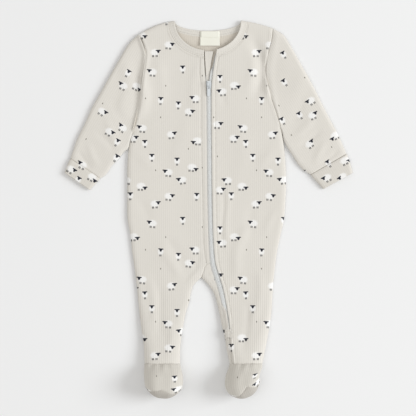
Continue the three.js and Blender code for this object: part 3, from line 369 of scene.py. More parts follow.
def cloth(name, grids, thickness, inside, finishes):
    """Grids of (points, grain) joined into one sheet, plus and minus half the thickness along the
    normal. The first finish goes on the side that faces away from the point called inside."""
    middle, corners, joined = welded(grids)
    face_normal, centre = face_normals(middle, joined)
    if (face_normal * (centre - np.array(inside))).sum() < 0:
        corners, joined, face_normal = corners[:, ::-1], joined[:, ::-1], -face_normal
    normal, count = point_normals(middle, joined, face_normal), len(middle)
    (p, q), (cp, cq) = free_edges(corners, joined, count)
    rim = np.concatenate([np.stack([q, p, p + count], 1), np.stack([q, p + count, q + count], 1)])
    rim_corners = np.concatenate([np.stack([cq, cp, cp], 1), np.stack([cq, cp, cq], 1)])
    faces = np.concatenate([joined, joined[:, ::-1] + count, rim])
    face_corners = np.concatenate([corners, corners[:, ::-1], rim_corners])
    finish_of_face = np.repeat([0, 1, 1], [len(joined), len(joined), len(rim)])
    both = np.concatenate([middle + normal * thickness / 2, middle - normal * thickness / 2])
    grain = np.concatenate([g.reshape(-1, 2) for _, g in grids])[face_corners]
    made = make_mesh(name + "_cloth", both, faces, grain, finish_of_face, finishes)
    PIECES[name] = made
    made["area_m2"] = float(np.linalg.norm(face_normal, axis=1).sum() / 2e6)
    area = round(made["area_m2"] * 1e4)
    sizes = [grid_size(p) for p, _ in grids]
    print(name, len(faces), "triangles,", area, "cm2, grids of", sizes, "mm")
    return made


def plan(x, y, height):
    """A grid laid on a layer of the body. The grain is the plan itself: the cloth lies flat."""
    x, y = np.broadcast_arrays(x, y)
    return np.stack([x, y, height(x, y)], -1), np.stack([x, y], -1)


def shares(count, edge=0.8):
    """Column places from 0 to 1, closer together at both ends, where the cloth turns over."""
    u = np.linspace(0, 1, count)
    return mix(u, 0.5 - 0.5 * np.cos(np.pi * u), edge)


# %% [markdown]
# ## Knitted jersey
# The cloth is a fine rib: soft ridges 3.3 mm apart with a narrow groove between them, which read
# as faint lines down the cloth. A bump gives the ridges, painted shade a slightly darker tone in the
# grooves, both stronger down the legs, and a fine noise the hairy surface of cotton. All follow the
# grain, so they turn with each sleeve.

# %% A small helper for shader nodes
RIB = 3.27


class Nodes:
    """Adds nodes to a material and joins them. An input is a number, a tuple or another output."""

    def __init__(self, name):
        self.material = bpy.data.materials.new(name)
        self.material.use_nodes = True
        self.tree = self.material.node_tree
        self.shader = self.tree.nodes["Principled BSDF"]

    def add(self, kind, inputs=(), output=0, **settings):
        node = self.tree.nodes.new(kind)
        for key, value in settings.items():
            setattr(node, key, value)
        for socket, value in dict(inputs).items():
            if isinstance(value, bpy.types.NodeSocket):
                self.tree.links.new(value, node.inputs[socket])
            else:
                node.inputs[socket].default_value = value
        return node.outputs[output]

    def math(self, operation, *values, clamp=False):
        return self.add("ShaderNodeMath", enumerate(values), operation=operation, use_clamp=clamp)

    def vector(self, operation, *values):
        output = 1 if operation in ("LENGTH", "DISTANCE", "DOT_PRODUCT") else 0
        return self.add("ShaderNodeVectorMath", enumerate(values), output, operation=operation)

    def mix(self, factor, a, b):
        inputs = {0: factor, 6: a, 7: b}
        return self.add("ShaderNodeMix", inputs, 2, data_type="RGBA")

    def choose(self, factor, a, b):
        return self.add("ShaderNodeMix", {0: factor, 4: a, 5: b}, 1, data_type="VECTOR")

    def parts(self, vector):
        node = self.tree.nodes.new("ShaderNodeSeparateXYZ")
        self.tree.links.new(vector, node.inputs[0])
        return node.outputs

    def inside(self, distance, soft=0.25):
        """1 where a distance is below zero, 0 above it, with a soft edge."""
        inputs = {0: distance, 1: soft, 2: -soft, 3: 0.0, 4: 1.0}
        return self.add("ShaderNodeMapRange", inputs, clamp=True)

    def plug(self, **sockets):
        for name, value in sockets.items():
            target = self.shader.inputs[name.replace("_", " ")]
            if isinstance(value, bpy.types.NodeSocket):
                self.tree.links.new(value, target)
            else:
                target.default_value = value


# %% [markdown]
# ## The sheep print
# Printed cloth repeats a block. The block here is 160 by 240 mm and holds 27 little sheep in loose
# flocks, charted below, and a few grass marks. The shader finds the nearest sheep, wraps the block
# round at its edges, and draws that one sheep from ovals: a white fleece, a dark head with two ears,
# and two dark pairs of legs. Looking only at the nearest keeps it one drawing.

# %% The chart of the print
BLOCK = (160.0, 240.0)
# A pose: the head's x and y, half the fleece's width, the legs' middle and half their spread
ASIDE, AHEAD = (4.9, 1.9, 6.0, -0.4, 2.6), (0.0, 3.2, 3.9, 0.0, 0.0)
GRAZING = (5.6, -2.2, 6.3, -1.1, 2.4)
# A sheep: its x and y, the way it faces, its pose and its tilt in degrees
FLOCK = [
    (18, 30, 1, ASIDE, 3), (36, 21, 1, AHEAD, 0), (30, 45, -1, ASIDE, -4), (53, 36, 1, GRAZING, 0),
    (96, 58, -1, ASIDE, 4), (118, 46, -1, ASIDE, -8), (110, 76, 1, AHEAD, 0), (141, 20, 1, AHEAD, 3),
    (134, 66, 1, GRAZING, 5), (70, 82, 1, AHEAD, 0), (97, 20, 1, ASIDE, 6), (84, 172, -1, AHEAD, 4),
    (14, 134, 1, ASIDE, 2), (75, 8, 1, ASIDE, -3), (40, 112, 1, ASIDE, 0), (59, 104, 1, AHEAD, -3),
    (55, 128, -1, ASIDE, 6), (101, 118, 1, ASIDE, -6), (142, 108, -1, GRAZING, 3),
    (112, 165, 1, AHEAD, 2),
    (129, 154, 1, ASIDE, 8), (139, 175, -1, ASIDE, 0), (22, 186, -1, ASIDE, -5),
    (41, 196, 1, GRAZING, -3), (18, 207, 1, AHEAD, 0), (71, 217, -1, ASIDE, 5),
    (119, 222, 1, AHEAD, -2),
]
GRASS = [
    (76, 62), (150, 66), (14, 84), (84, 146), (128, 96), (60, 176), (92, 196), (150, 212), (8, 146),
]
FLEECE, FACE, GRASS_MARK = (0.84, 0.83, 0.81, 1), (0.018, 0.02, 0.03, 1), (0.16, 0.15, 0.12, 1)
SHEEP_SIZE = 1.1


def wrapped(nodes, grain, x, y):
    """The way from a charted place to here, the short way round the block."""
    shift = nodes.vector("SUBTRACT", grain, (x, y, 0))
    half = (BLOCK[0] / 2, BLOCK[1] / 2, 1)
    return nodes.vector("WRAP", shift, half, tuple(-v for v in half))


def oval(nodes, x, y, centre, radii):
    """Distance in millimetres, roughly, from an oval: below zero inside it."""
    dx = nodes.math("DIVIDE", nodes.math("SUBTRACT", x, centre[0]), radii[0])
    dy = nodes.math("DIVIDE", nodes.math("SUBTRACT", y, centre[1]), radii[1])
    squares = nodes.math("MULTIPLY_ADD", dy, dy, nodes.math("MULTIPLY", dx, dx))
    return nodes.math("MULTIPLY", nodes.math("SUBTRACT", nodes.math("SQRT", squares), 1.0), 2.0)


def sheep_print(nodes, grain, ground):
    """The ground colour with the nearest charted sheep and the grass marks drawn over it."""
    best, here, head, body = 1e3, (0, 0, 0), (0, 0, 0), (0, 0, 0)
    for x, y, way, (head_x, head_y, half, legs, spread), tilt in FLOCK:
        local = wrapped(nodes, grain, x, y)
        far = nodes.vector("LENGTH", local)
        nearer = nodes.math("LESS_THAN", far, best)
        here = nodes.choose(nearer, here, local)
        head = nodes.choose(nearer, head, (head_x, head_y, math.radians(tilt)))
        body = nodes.choose(nearer, body, (half * way, legs, spread))
        best = nodes.math("MINIMUM", far, best)
    head_x, head_y, tilt = nodes.parts(head)
    half, legs, spread = nodes.parts(body)
    turned = nodes.add("ShaderNodeVectorRotate", {0: here, 3: tilt}, rotation_type="Z_AXIS")
    plain_x, y, _ = nodes.parts(nodes.vector("DIVIDE", turned, (SHEEP_SIZE,) * 3))
    x = nodes.math("MULTIPLY", plain_x, nodes.math("SIGN", half))
    wool = nodes.math("SINE", nodes.math("MULTIPLY", nodes.math("ARCTAN2", y, x), 9.0))
    width = nodes.math("MULTIPLY_ADD", wool, 0.16, nodes.math("ABSOLUTE", half))
    height = nodes.math("MULTIPLY_ADD", wool, 0.16, 4.6)
    fleece = oval(nodes, x, y, (0.0, 0.9), (width, height))
    head_side = nodes.math("SUBTRACT", x, head_x)
    head_up = nodes.math("SUBTRACT", y, head_y)
    reach = nodes.math("MULTIPLY_ADD", head_up, 0.45, 1.9)
    cheek = nodes.math("SUBTRACT", nodes.math("ABSOLUTE", head_side), reach)
    brow = nodes.math("SUBTRACT", nodes.math("ABSOLUTE", head_up), 2.35)
    face = nodes.math("SMOOTH_MAX", cheek, brow, 0.6)
    ears = oval(nodes, nodes.math("ABSOLUTE", head_side), head_up, (2.5, 1.5), (1.35, 0.8))
    pair = nodes.math("SUBTRACT", nodes.math("ABSOLUTE", nodes.math("SUBTRACT", x, legs)), spread)
    leg = oval(nodes, nodes.math("ABSOLUTE", pair), y, (0.8, -4.5), (0.55, 1.7))
    dark = nodes.math("MINIMUM", nodes.math("MINIMUM", face, ears), leg)
    tick = 1e3
    for gx, gy in GRASS:
        shape = nodes.vector("MULTIPLY", wrapped(nodes, grain, gx, gy), (1.0, 0.55, 0))
        tick = nodes.math("MINIMUM", tick, nodes.vector("LENGTH", shape))
    colour = nodes.mix(nodes.inside(nodes.math("SUBTRACT", tick, 0.75)), ground, GRASS_MARK)
    colour = nodes.mix(nodes.inside(fleece, 0.5), colour, FLEECE)
    return nodes.mix(nodes.inside(dark), colour, FACE)


# %% The jersey finishes
def jersey(name, tone, printed):
    """Rib jersey: painted shade in narrow grooves every RIB mm of grain, and the print if it has one."""
    nodes = Nodes(name)
    grain = nodes.add("ShaderNodeUVMap", uv_map="grain")
    across, along, _ = nodes.parts(grain)
    ridge = nodes.math("ABSOLUTE", nodes.math("SINE", nodes.math("MULTIPLY", across, math.pi / RIB)))
    ridge = nodes.math("POWER", ridge, 0.55)
    stitch = nodes.math("SINE", nodes.math("MULTIPLY", along, 2 * math.pi / 1.1))
    fuzz = nodes.add("ShaderNodeTexNoise", {"Vector": grain, "Scale": 0.9, "Detail": 3.0})
    cloudy = nodes.add("ShaderNodeTexNoise", {"Vector": grain, "Scale": 0.02, "Detail": 1.0})
    # groove is painted shade: the tone darkened where the rib sinks between its ridges.
    groove = tuple(v * 0.86 for v in tone[:3]) + (1,)
    # The grooves and their painted shade are at half strength above y = -40 and at full strength below y
    # = -170.
    low_down = {0: along, 1: -40.0, 2: -170.0, 3: 0.5, 4: 1.0}
    spread = nodes.add("ShaderNodeMapRange", low_down, clamp=True)
    depth = nodes.math("MULTIPLY", nodes.math("SUBTRACT", 1.0, ridge), spread)
    flush = nodes.math("SUBTRACT", 1.0, depth)
    lightness = nodes.math("MULTIPLY_ADD", fuzz, 0.12, nodes.math("MULTIPLY", flush, 0.94))
    shade = nodes.mix(lightness, groove, tone)
    paler = tuple(min(1, v * 1.03) for v in tone[:3]) + (1,)
    ground = nodes.mix(nodes.math("MULTIPLY", cloudy, 0.5), shade, paler)
    colour = sheep_print(nodes, grain, ground) if printed else ground
    height = nodes.math("MULTIPLY_ADD", fuzz, 0.35, flush)
    height = nodes.math("MULTIPLY_ADD", stitch, 0.1, height)
    bump = nodes.add("ShaderNodeBump", {"Strength": 0.55, "Distance": 0.0005, "Height": height})
    nodes.plug(Base_Color=colour, Roughness=0.92, Normal=bump, Sheen_Weight=0.12, Sheen_Roughness=0.5)
    nodes.plug(Specular_IOR_Level=0.2)
    return nodes.material


OATMEAL, INNER_OATMEAL = (0.70, 0.669, 0.615, 1), (0.655, 0.605, 0.53, 1)
# FOOT_OATMEAL_SHADED is the body's tone darkened as painted shade of the feet, which slope away from the
# light; the printed foot jersey made from it carries that shade.
FOOT_OATMEAL_SHADED = (0.632, 0.603, 0.548, 1)
PRINTED = jersey("printed jersey", OATMEAL, True)
PLAIN = jersey("jersey wrong side", INNER_OATMEAL, False)
FOOT_PRINTED_SHADED = jersey("printed foot jersey, painted shade", FOOT_OATMEAL_SHADED, True)
# The sole jersey's dark tone is partly the sole cloth's own colour and partly painted shade of the
# sole's downward side.
SOLE_TONE_AND_SHADE = jersey("sole jersey, tone and painted shade", (0.50, 0.47, 0.425, 1), False)
CUFF_PRINTED = jersey("printed cuff jersey", (0.665, 0.633, 0.578, 1), True)
BAND = jersey("band jersey", OATMEAL, False)
print("print nodes:", len(PRINTED.node_tree.nodes))

# %% [markdown]
# ## Neck curves and panel edges
# The front neck is half an oval and the back neck a shallower one, both starting from the shoulder
# folds. The panels stop at them, and the binding covers the last ten millimetres.

# %% Edges of the body's pieces
def neck_point(hand, depth, width, angle):
    """A point on the oval, width millimetres outside the opening, from the shoulder fold down."""
    reach = NECK["half_width"] + width
    start_x = NECK["x"] + SIGN[hand] * reach
    start_y = shoulder_y(start_x)
    down = depth + width - (NECK["y"] - start_y)
    return NECK["x"] + SIGN[hand] * reach * np.cos(angle), start_y - down * np.sin(angle)


def cloth_edge(hand, y):
    slant = np.hypot(1, (chain[hand](y + 1) - chain[hand](y - 1)) / 2)
    return chain[hand](y) + SIGN[hand] * cloth_from_chain[hand](y) * slant


def neck_end(hand, width):
    """The angle at which the neck's oval reaches the zip."""
    edge = cloth_edge(hand, NECK["y"] - NECK["front"] - width) - NECK["x"]
    return np.arccos(np.clip(SIGN[hand] * edge / (NECK["half_width"] + width), 0, 1))


def below_zip(hand, y):
    """The zip's cloth edge, drawn in below the zip's end to the seam that closes the leg."""
    t = smooth((ZIP_END_Y - y) / (ZIP_END_Y - ANKLE_SEAM["y"][0]))
    seam = ankle_seam(np.minimum(y, ANKLE_SEAM["y"][0]))
    return np.where(y > ZIP_END_Y, cloth_edge(hand, y), mix(cloth_edge(hand, ZIP_END_Y), seam, t))


def strip_inner_edge(y):
    return np.where(y > CROTCH[1], crotch_seam(y), inner_leg["left"](y))


def centre_edge(hand, y):
    if hand == "left":
        return below_zip("left", y)
    low = np.where(y > CROTCH[1], crotch_seam(y), inner_leg["right"](y))
    return np.where(y > CROTCH_SEAM["y"][0], cloth_edge("right", y), low)


def outer_edge(hand, y):
    return np.where(y <= ARMPIT[hand][1], side[hand](y), armhole[hand](y))


# %% The two front panels
def yoke(hand, columns, rows):
    """From the shoulder fold down to the chest: columns run from the armhole to the neck's oval."""
    t = (np.linspace(0, 1, rows) ** 1.6)[:, None]
    s = columns[None, :]
    level = mix(armhole_top[hand], YOKE_END_Y, t)
    end = neck_end(hand, NECK["binding"])
    neck_x, neck_y = neck_point(hand, NECK["front"], NECK["binding"], end * t)
    start_x, start_y = neck_point(hand, NECK["front"], NECK["binding"], 0.0)
    top_x = mix(outer_edge(hand, armhole_top[hand]), start_x, s)
    bow = shoulder_y(top_x) - mix(armhole_top[hand], start_y, s)
    x = mix(outer_edge(hand, level), neck_x, s)
    return x, mix(level, neck_y, s) + bow * (1 - t) ** 2


def front_panel(hand, column_count=84, row_count=330):
    """Rows from armhole or side to the zip: first the yoke, then level rows down to the ankle."""
    columns = shares(column_count)
    yoke_x, yoke_y = yoke(hand, columns, 46)
    y = np.linspace(YOKE_END_Y, ANKLE_Y, row_count)[1:, None]
    y = np.sort(np.append(y[:, 0], [CROTCH[1], CROTCH_SEAM["y"][0] - 0.01]))[::-1, None]
    x = mix(outer_edge(hand, y), centre_edge(hand, y), columns[None, :])
    x, y = np.concatenate([yoke_x, x]), np.concatenate([yoke_y, np.broadcast_to(y, x.shape)])
    grid = plan(x, y, lambda px, py: front_height(px, py) + front_finish(hand, px, py))
    return cloth(f"front_{hand}", [grid], CLOTH, (0, 0, -900), (PRINTED, PLAIN))


def front_finish(hand, x, y):
    """What sewing does to a panel: a groove under each topstitch, a dip at the armhole seam, a
    slightly thicker fold beside the zip and small puckers along it."""
    from_zip = SIGN[hand] * (x - chain[hand](y))
    open_zip = smooth((y + 190) / 20)
    groove = -0.6 * np.exp(-(((from_zip - TOPSTITCH[hand](y)) / 1.0) ** 2)) * open_zip
    fold = 0.35 * np.exp(-(((from_zip - 6.5) / 3) ** 2)) * open_zip
    pucker = 0.16 * np.sin(y / 2.3 + 3 * np.sin(y / 19)) * np.exp(-(((from_zip - 9) / 7) ** 2))
    above_pit = smooth((y - ARMPIT[hand][1] - 3) / 10)
    seam = SIGN[hand] * (armhole[hand](y) - x)
    dip = -1.2 * np.exp(-((seam / 2.6) ** 2)) * above_pit
    ridge = 0.35 * np.exp(-(((seam - 4.5) / 2.5) ** 2)) * above_pit
    ankle = -0.7 * np.exp(-(((y - ANKLE_Y) / 2.0) ** 2))
    return groove + fold + (pucker + dip + ridge) * turned_flat(x, y, 8) + ankle + seam_grooves(x, y)


def seam_grooves(x, y):
    """The dips along the crotch seam and the seam that closes the leg below the zip."""
    leg = np.exp(-(((x - ankle_seam(np.minimum(y, -206))) / 1.3) ** 2)) * smooth((-203 - y) / 4)
    crotch = np.exp(-(((x - crotch_seam(np.clip(y, CROTCH[1], -84))) / 1.2) ** 2))
    crotch = crotch * smooth((-84 - y) / 3) * smooth((y + 112) / 4)
    piping = np.exp(-(((x - ankle_seam(np.minimum(y, -206)) - 2.6) / 1.2) ** 2)) * smooth((-203 - y) / 4)
    return 0.8 * piping - 1.5 * leg - 0.9 * crotch


TOPSTITCH_PLACES = table(
    "y right left",
    (253, 6.5, 8.5), (205, 11.6, 9.6), (110, 12.8, 9.6), (20, 11.4, 9.4), (-50, 12.2, 9.4),
    (-84, 10.6, 9.4), (-104, 9.2, 9.2), (-126, 7.4, 9.0), (-152, 6.2, 8.8), (-198, 5.6, 8.4),
)
TOPSTITCH = {h: curve(TOPSTITCH_PLACES, h) for h in SIGN}
for hand in SIGN:
    front_panel(hand)

# %% [markdown]
# ## The back, down to the heels
# The back is one piece from the neck to the heels, and behind the open neck its wrong side shows:
# the same rib, without print. Its heel part belongs to the foot, so the foot's form comes first.
# A foot lies over the table's edge of the leg: each ring across it leans further, from flat at the
# ankle to nearly upright at the toes, and the left foot turns outwards.

# %% The form of a foot
FOOT_RINGS = table(
    "ring top heel height widen roll back_roll turned",
    (0, 0, 0, 18.5, 0, 24, 12, 0), (1, 8, 6, 28.0, 1.0, 24, 13, 0.1),
    (2, 19, 12, 37.5, 2.2, 23, 14, 0.4), (3, 31, 18, 43.0, 2.6, 22, 15, 0.8),
    (4, 40, 23, 44.0, 2.0, 21, 16, 1), (5, 45.5, 28, 42.0, 0.4, 20, 17, 1),
)
ring_of = {name: curve(FOOT_RINGS, name, "ring") for name in FOOT_RINGS if name != "ring"}
FEET = {
    "right": dict(x=-73.2, half_width=27.6, shift=1.4, turn=-5, bulge=15.6),
    "left": dict(x=59.35, half_width=25.15, shift=-2.4, turn=22, bulge=14.5),
}
FOOT_PIVOT, SOLE_ROUNDNESS = 38, 2.6


def foot_surface(hand, ring, share_across, layer):
    """A foot's surface: rings past the ankle, and the share across from the outer edge. The vamp
    rises from the side fold to the ring's height and the heel sinks from it to the table, each as
    a quarter ellipse; both lean with the ring, which turns about the ankle."""
    foot = FEET[hand]
    half = foot["half_width"] + ring_of["widen"](ring)
    roll = ring_of["roll" if layer == "vamp" else "back_roll"](ring)
    place = share_across * 2 * half
    across = SIGN[hand] * (half - place)
    is_open = rolled(np.minimum(place, 2 * half - place) / roll)
    share = mix(FOLD_SHARE, 1.0 if layer == "vamp" else 0.0, is_open)
    past = mix(ring_of["heel"](ring), ring_of["top"](ring), share) - FOOT_PIVOT
    turned = ring_of["turned"](ring)
    turn = math.radians(foot["turn"]) * turned
    x = foot["x"] + foot["shift"] * turned + across * np.cos(turn) + past * np.sin(turn)
    y = ANKLE_Y - FOOT_PIVOT + across * np.sin(turn) - past * np.cos(turn)
    z = mix(BACK_TOP, ring_of["height"](ring), share)
    crease = foot_creases(hand, ring, across) if layer == "vamp" else 0
    points = np.stack([x, y, z + crease * is_open], -1)
    grain = np.stack([across, ANKLE_Y - ring_of["top"](ring) * 1.25 + 0 * across], -1)
    return points, grain


def foot_creases(hand, ring, across):
    """Small gathers that fan out from the ankle seam and die away over the instep."""
    fan = np.sin(across / (1.9 + 0.5 * ring) + {"right": 0.4, "left": 1.9}[hand])
    slow = np.sin(across / 6.5 + 1.7 * ring)
    ankle = -0.8 * np.exp(-((ring / 0.16) ** 2))
    sole = -0.7 * np.exp(-(((sole_seam_at(hand, across) - ring) / 0.14) ** 2))
    fade = np.exp(-(((ring - 0.35) / 0.9) ** 2))
    return 0.85 * fan * fade + 0.8 * slow * np.exp(-ring / 2.5) + ankle + sole


def sole_seam_at(hand, across):
    """The same line for a distance across the foot, in millimetres from its middle."""
    half = FEET[hand]["half_width"] + 0.4
    return sole_seam(hand, (1 - SIGN[hand] * across / half) / 2)


def sole_seam(hand, across_share):
    """The ring on which the vamp ends: the last one, less a peak where the sole reaches up."""
    at, wide, high = {"right": (0.45, 0.3, 1.0), "left": (0.42, 0.3, 1.5)}[hand]
    return 5 - high * np.clip(1 - np.abs(across_share - at) / wide, 0, 1) ** 0.8


def foot_grid(hand, layer, rings=56, columns=64):
    ring = np.linspace(0, 1, rings)[:, None]
    share = shares(columns)[None, :] + 0 * ring
    last = sole_seam(hand, share) if layer == "vamp" else 5.0
    return foot_surface(hand, ring * last, share, layer)


# %% The back panel
def back_middle(hand, y):
    """The inner edge of half of the back: the middle of the body, then the inside of the leg."""
    split = mix(CROTCH[0], NECK["x"], np.clip((y - CROTCH[1]) / (NECK["y"] - CROTCH[1]), 0, 1))
    return np.where(y > CROTCH[1], split, inner_leg[hand](y))


def back_top(hand, columns):
    """The back's top row: along the shoulder fold, then round the back of the neck."""
    on_shoulder = columns < 0.47
    turn = columns[on_shoulder].max()
    neck_x, neck_y = neck_point(hand, NECK["back"], NECK["binding"], 0.0)
    shoulder_x = mix(outer_edge(hand, armhole_top[hand]), neck_x, np.clip(columns / turn, 0, 1))
    t_neck = np.clip((columns - turn) / (1 - turn), 0, 1)
    round_neck = neck_point(hand, NECK["back"], NECK["binding"], t_neck * np.pi / 2)
    x = np.where(on_shoulder, shoulder_x, round_neck[0])
    return x, np.where(on_shoulder, shoulder_y(shoulder_x), round_neck[1])


def back_half(hand, column_count=62, row_count=230):
    """Half of the back: a yoke between its top row and the chest, then level rows to the ankle."""
    columns, tip_y = shares(column_count)[None, :], armhole_top[hand]
    top_x, top_y = back_top(hand, columns)
    low_x = mix(outer_edge(hand, YOKE_END_Y), back_middle(hand, np.float64(YOKE_END_Y)), columns)
    t = (np.linspace(0, 1, 34) ** 1.5)[:, None]
    level = mix(tip_y, YOKE_END_Y, t)
    straight = mix(outer_edge(hand, tip_y), outer_edge(hand, YOKE_END_Y), t)
    yoke_x = mix(top_x, low_x, t) + (outer_edge(hand, level) - straight) * (1 - columns)
    yoke_y = mix(top_y, YOKE_END_Y, t)
    y = np.sort(np.append(np.linspace(YOKE_END_Y, ANKLE_Y, row_count)[1:], CROTCH[1]))[::-1, None]
    x = mix(outer_edge(hand, y), back_middle(hand, y), columns)
    x, y = np.concatenate([yoke_x, x]), np.concatenate([yoke_y, y + 0 * x])
    return plan(x, y, back_height)


def facing(hand, grid):
    """The left half's columns the other way round, so that both halves face the same way."""
    return grid if hand == "right" else tuple(part[:, ::-1] for part in grid)


cloth(
    "back", [facing(h, g) for h in SIGN for g in (back_half(h), foot_grid(h, "heel", 40, 62))],
    CLOTH, (0, 0, 900), (PRINTED, PLAIN),
)

# %% The strip inside the left leg
strip_y = np.linspace(STRIP_TOP_Y, ANKLE_Y, 150)[:, None]
over_chain = smooth((-148 - strip_y) / 14) * smooth((strip_y + 197) / 6)
strip_share = shares(20)[None, :]
strip_x = mix(strip_inner_edge(strip_y), below_zip("right", strip_y) + 5.2 * over_chain, strip_share)
strip_raised = 1.5 * over_chain * smooth((strip_share - 0.45) / 0.4)
strip_grid = plan(
    strip_x, strip_y, lambda x, y: front_height(x, y) + seam_grooves(x, y) + strip_raised
)
cloth("inner_leg_strip", [strip_grid], CLOTH, (0, 0, -900), (PRINTED, PLAIN))

# %% [markdown]
# ## Feet
# The upper is printed like the body, on a darker tone of painted shade. The sole is its own round
# piece, a bulging cap that closes the last ring; it carries no print, its darker cloth is partly painted
# shade, and its seam stands out as a darker line.

# %% Uppers and soles
def foot_sole(hand, columns=64, rings=26):
    """The last ring drawn in to a tip: each smaller ring stands further out, by a power law."""
    share = shares(columns)
    vamp = foot_surface(hand, np.array(5.0) + 0 * share, share, "vamp")[0]
    heel = foot_surface(hand, np.array(5.0), shares(columns), "heel")[0]
    edge = np.concatenate([vamp, heel[-2:0:-1], vamp[:1]])
    top = foot_surface(hand, np.array(5.0), np.array(0.5), "vamp")[0]
    bottom = foot_surface(hand, np.array(5.0), np.array(0.5), "heel")[0]
    middle, turn = (top + bottom) / 2, math.radians(FEET[hand]["turn"])
    out = np.cross(top - bottom, (math.cos(turn), math.sin(turn), 0))
    out *= (-1 if out[1] > 0 else 1) / np.linalg.norm(out)
    size = (1 - np.linspace(0, 1, rings) ** 1.4)[:, None, None]
    bulge = FEET[hand]["bulge"] * (1 - size**SOLE_ROUNDNESS)
    points = middle + (edge - middle) * size + out * bulge
    points[..., 2] = np.maximum(points[..., 2], BACK_TOP)
    flat = edge - middle
    grain = np.stack([flat[:, 0], flat[:, 2]], -1) * size
    peak = mix(sole_seam(hand, share)[None, :], 5.0, np.linspace(0, 1, 14)[:, None])
    patch, patch_grain = foot_surface(hand, peak, share[None, :] + 0 * peak, "vamp")
    grids = [(points, grain), (patch, patch_grain)]
    return cloth(f"foot_sole_{hand}", grids, CLOTH, tuple(middle), (SOLE_TONE_AND_SHADE, PLAIN))


def foot_upper(hand):
    middle = (FEET[hand]["x"], -270, 5)
    return cloth(f"foot_upper_{hand}", [foot_grid(hand, "vamp")], CLOTH, middle, (FOOT_PRINTED_SHADED, PLAIN))


for hand in SIGN:
    foot_upper(hand)
for hand in SIGN:
    foot_sole(hand)

# %% [markdown]
# ## Sleeves and cuffs
# A sleeve is a tube pressed flat. Its rings go from the armhole seam, which curves, to the wrist,
# and its grain is turned by its lean so that the ribs and the sheep follow the arm.

# %% Flat tubes
LEAN = {"right": -30.5, "left": 32.0}
CUFF_PRINT = {"right": (36, 31), "left": (109, 60)}


def sleeve_grain(hand, x, y):
    """The plan turned back by the sleeve's lean, about the middle of the cuff."""
    lean, at = math.radians(LEAN[hand]), CUFFS[hand]
    x = x - (at["outer_x"] + at["inner_x"]).mean() / 2
    y = y - (at["outer_y"] + at["inner_y"]).mean() / 2
    turned = [x * math.cos(lean) + y * math.sin(lean), y * math.cos(lean) - x * math.sin(lean)]
    return np.stack(turned, -1) + np.array(CUFF_PRINT[hand])


def tube(hand, outer, inner, top, base, roll, bend=0, columns=72, finish=None):
    """Front and back layers between an outer and an inner edge: quarter ellipses at both folds."""
    share = shares(columns)
    place = np.minimum(share, 1 - share)[None, :]
    width = np.linalg.norm(inner - outer, axis=-1)[:, None]
    is_open = rolled(place * width / roll)
    x = mix(outer[:, :1], inner[:, :1], share[None, :])
    y = mix(outer[:, 1:], inner[:, 1:], share[None, :])
    fold = mix(base, top, FOLD_SHARE)
    raised = lift(SLEEVE_FOLDS, x, y) + unevenness(x, y) * 0.8 + (finish(x, y) if finish else 0)
    x_bent = x + (bend(y) if bend else 0)
    grain = sleeve_grain(hand, x_bent, y)
    front = np.stack([x_bent, y, mix(fold, top + raised, is_open)], -1)
    back = np.stack([x_bent, y, mix(fold, base, is_open)], -1)
    return [(front, grain), (back[:, ::-1], grain[:, ::-1])]


def edges_of(rows, count):
    """Both edges of a tube, read smoothly at evenly spaced places between its first and last row."""
    at = np.linspace(rows["row"][0], rows["row"][-1], count)
    read = {n: curve(rows, n, "row")(at) for n in ("outer_x", "outer_y", "inner_x", "inner_y")}
    return (
        np.stack([read["outer_x"], read["outer_y"]], -1),
        np.stack([read["inner_x"], read["inner_y"]], -1),
    )


def sleeve(hand, rings=150):
    rows = SLEEVES[hand]
    outer, inner = edges_of(rows, rings)
    t = np.linspace(0, 1, rings)[:, None]

    def seam_shift(y):
        """How far the armhole seam lies beside a straight line, fading down the arm."""
        share = (outer[:, 1:] - y) / (outer[:, 1:] - inner[:, 1:])
        at = mix(rows["outer_y"][0], rows["inner_y"][0], share)
        straight = mix(rows["outer_x"][0], rows["inner_x"][0], share)
        return (armhole[hand](at) - straight) * (1 - np.clip(t / 0.3, 0, 1)) ** 2

    def seam_dip(x, y):
        first, last = np.exp(-((t * 165 / 3.0) ** 2)), np.exp(-(((1 - t) * 165 / 1.6) ** 2))
        puff = np.exp(-(((t * 165 - 7) / 5) ** 2)) * {"right": 0.0, "left": 0.5}[hand]
        climb = {"right": 2.6, "left": -0.6}[hand]
        return puff + climb * first - 0.7 * last

    grids = tube(hand, outer, inner, 5.2, BACK_TOP, 8, seam_shift, finish=seam_dip)
    return cloth_tube(f"sleeve_{hand}", grids, CLOTH, PRINTED)


def cuff(hand, rings=26):
    outer, inner = edges_of(CUFFS[hand], rings)
    t = np.linspace(0, 1, rings)[:, None]
    ridge = lambda x, y: 0.3 * np.sin(np.pi * np.clip(t, 0, 1)) - 0.6 * np.exp(-((t * 26 / 1.6) ** 2))
    grids = tube(hand, outer, inner, 5.4, CUFF_CLOTH / 2, 4.5, columns=60, finish=ridge)
    return cloth_tube(f"cuff_{hand}", grids, CUFF_CLOTH, CUFF_PRINTED)


def cloth_tube(name, grids, thickness, outside):
    """A flat tube whose front layer runs one way and back layer the other, so all normals agree."""
    heights = np.concatenate([p[..., 2].reshape(-1) for p, _ in grids])
    plan_middle = np.concatenate([p.reshape(-1, 3) for p, _ in grids]).mean(0)
    inside = (plan_middle[0], plan_middle[1], float(heights.mean()))
    return cloth(name, grids, thickness, inside, (outside, PLAIN))


for hand in SIGN:
    sleeve(hand)
for hand in SIGN:
    cuff(hand)

# %% [markdown]
# ## The neck binding
# A folded rib strip finishes the neck. It lies beside the panels at the same level, a little
# plumper across its middle, and follows the front's half oval and the back's shallower one.

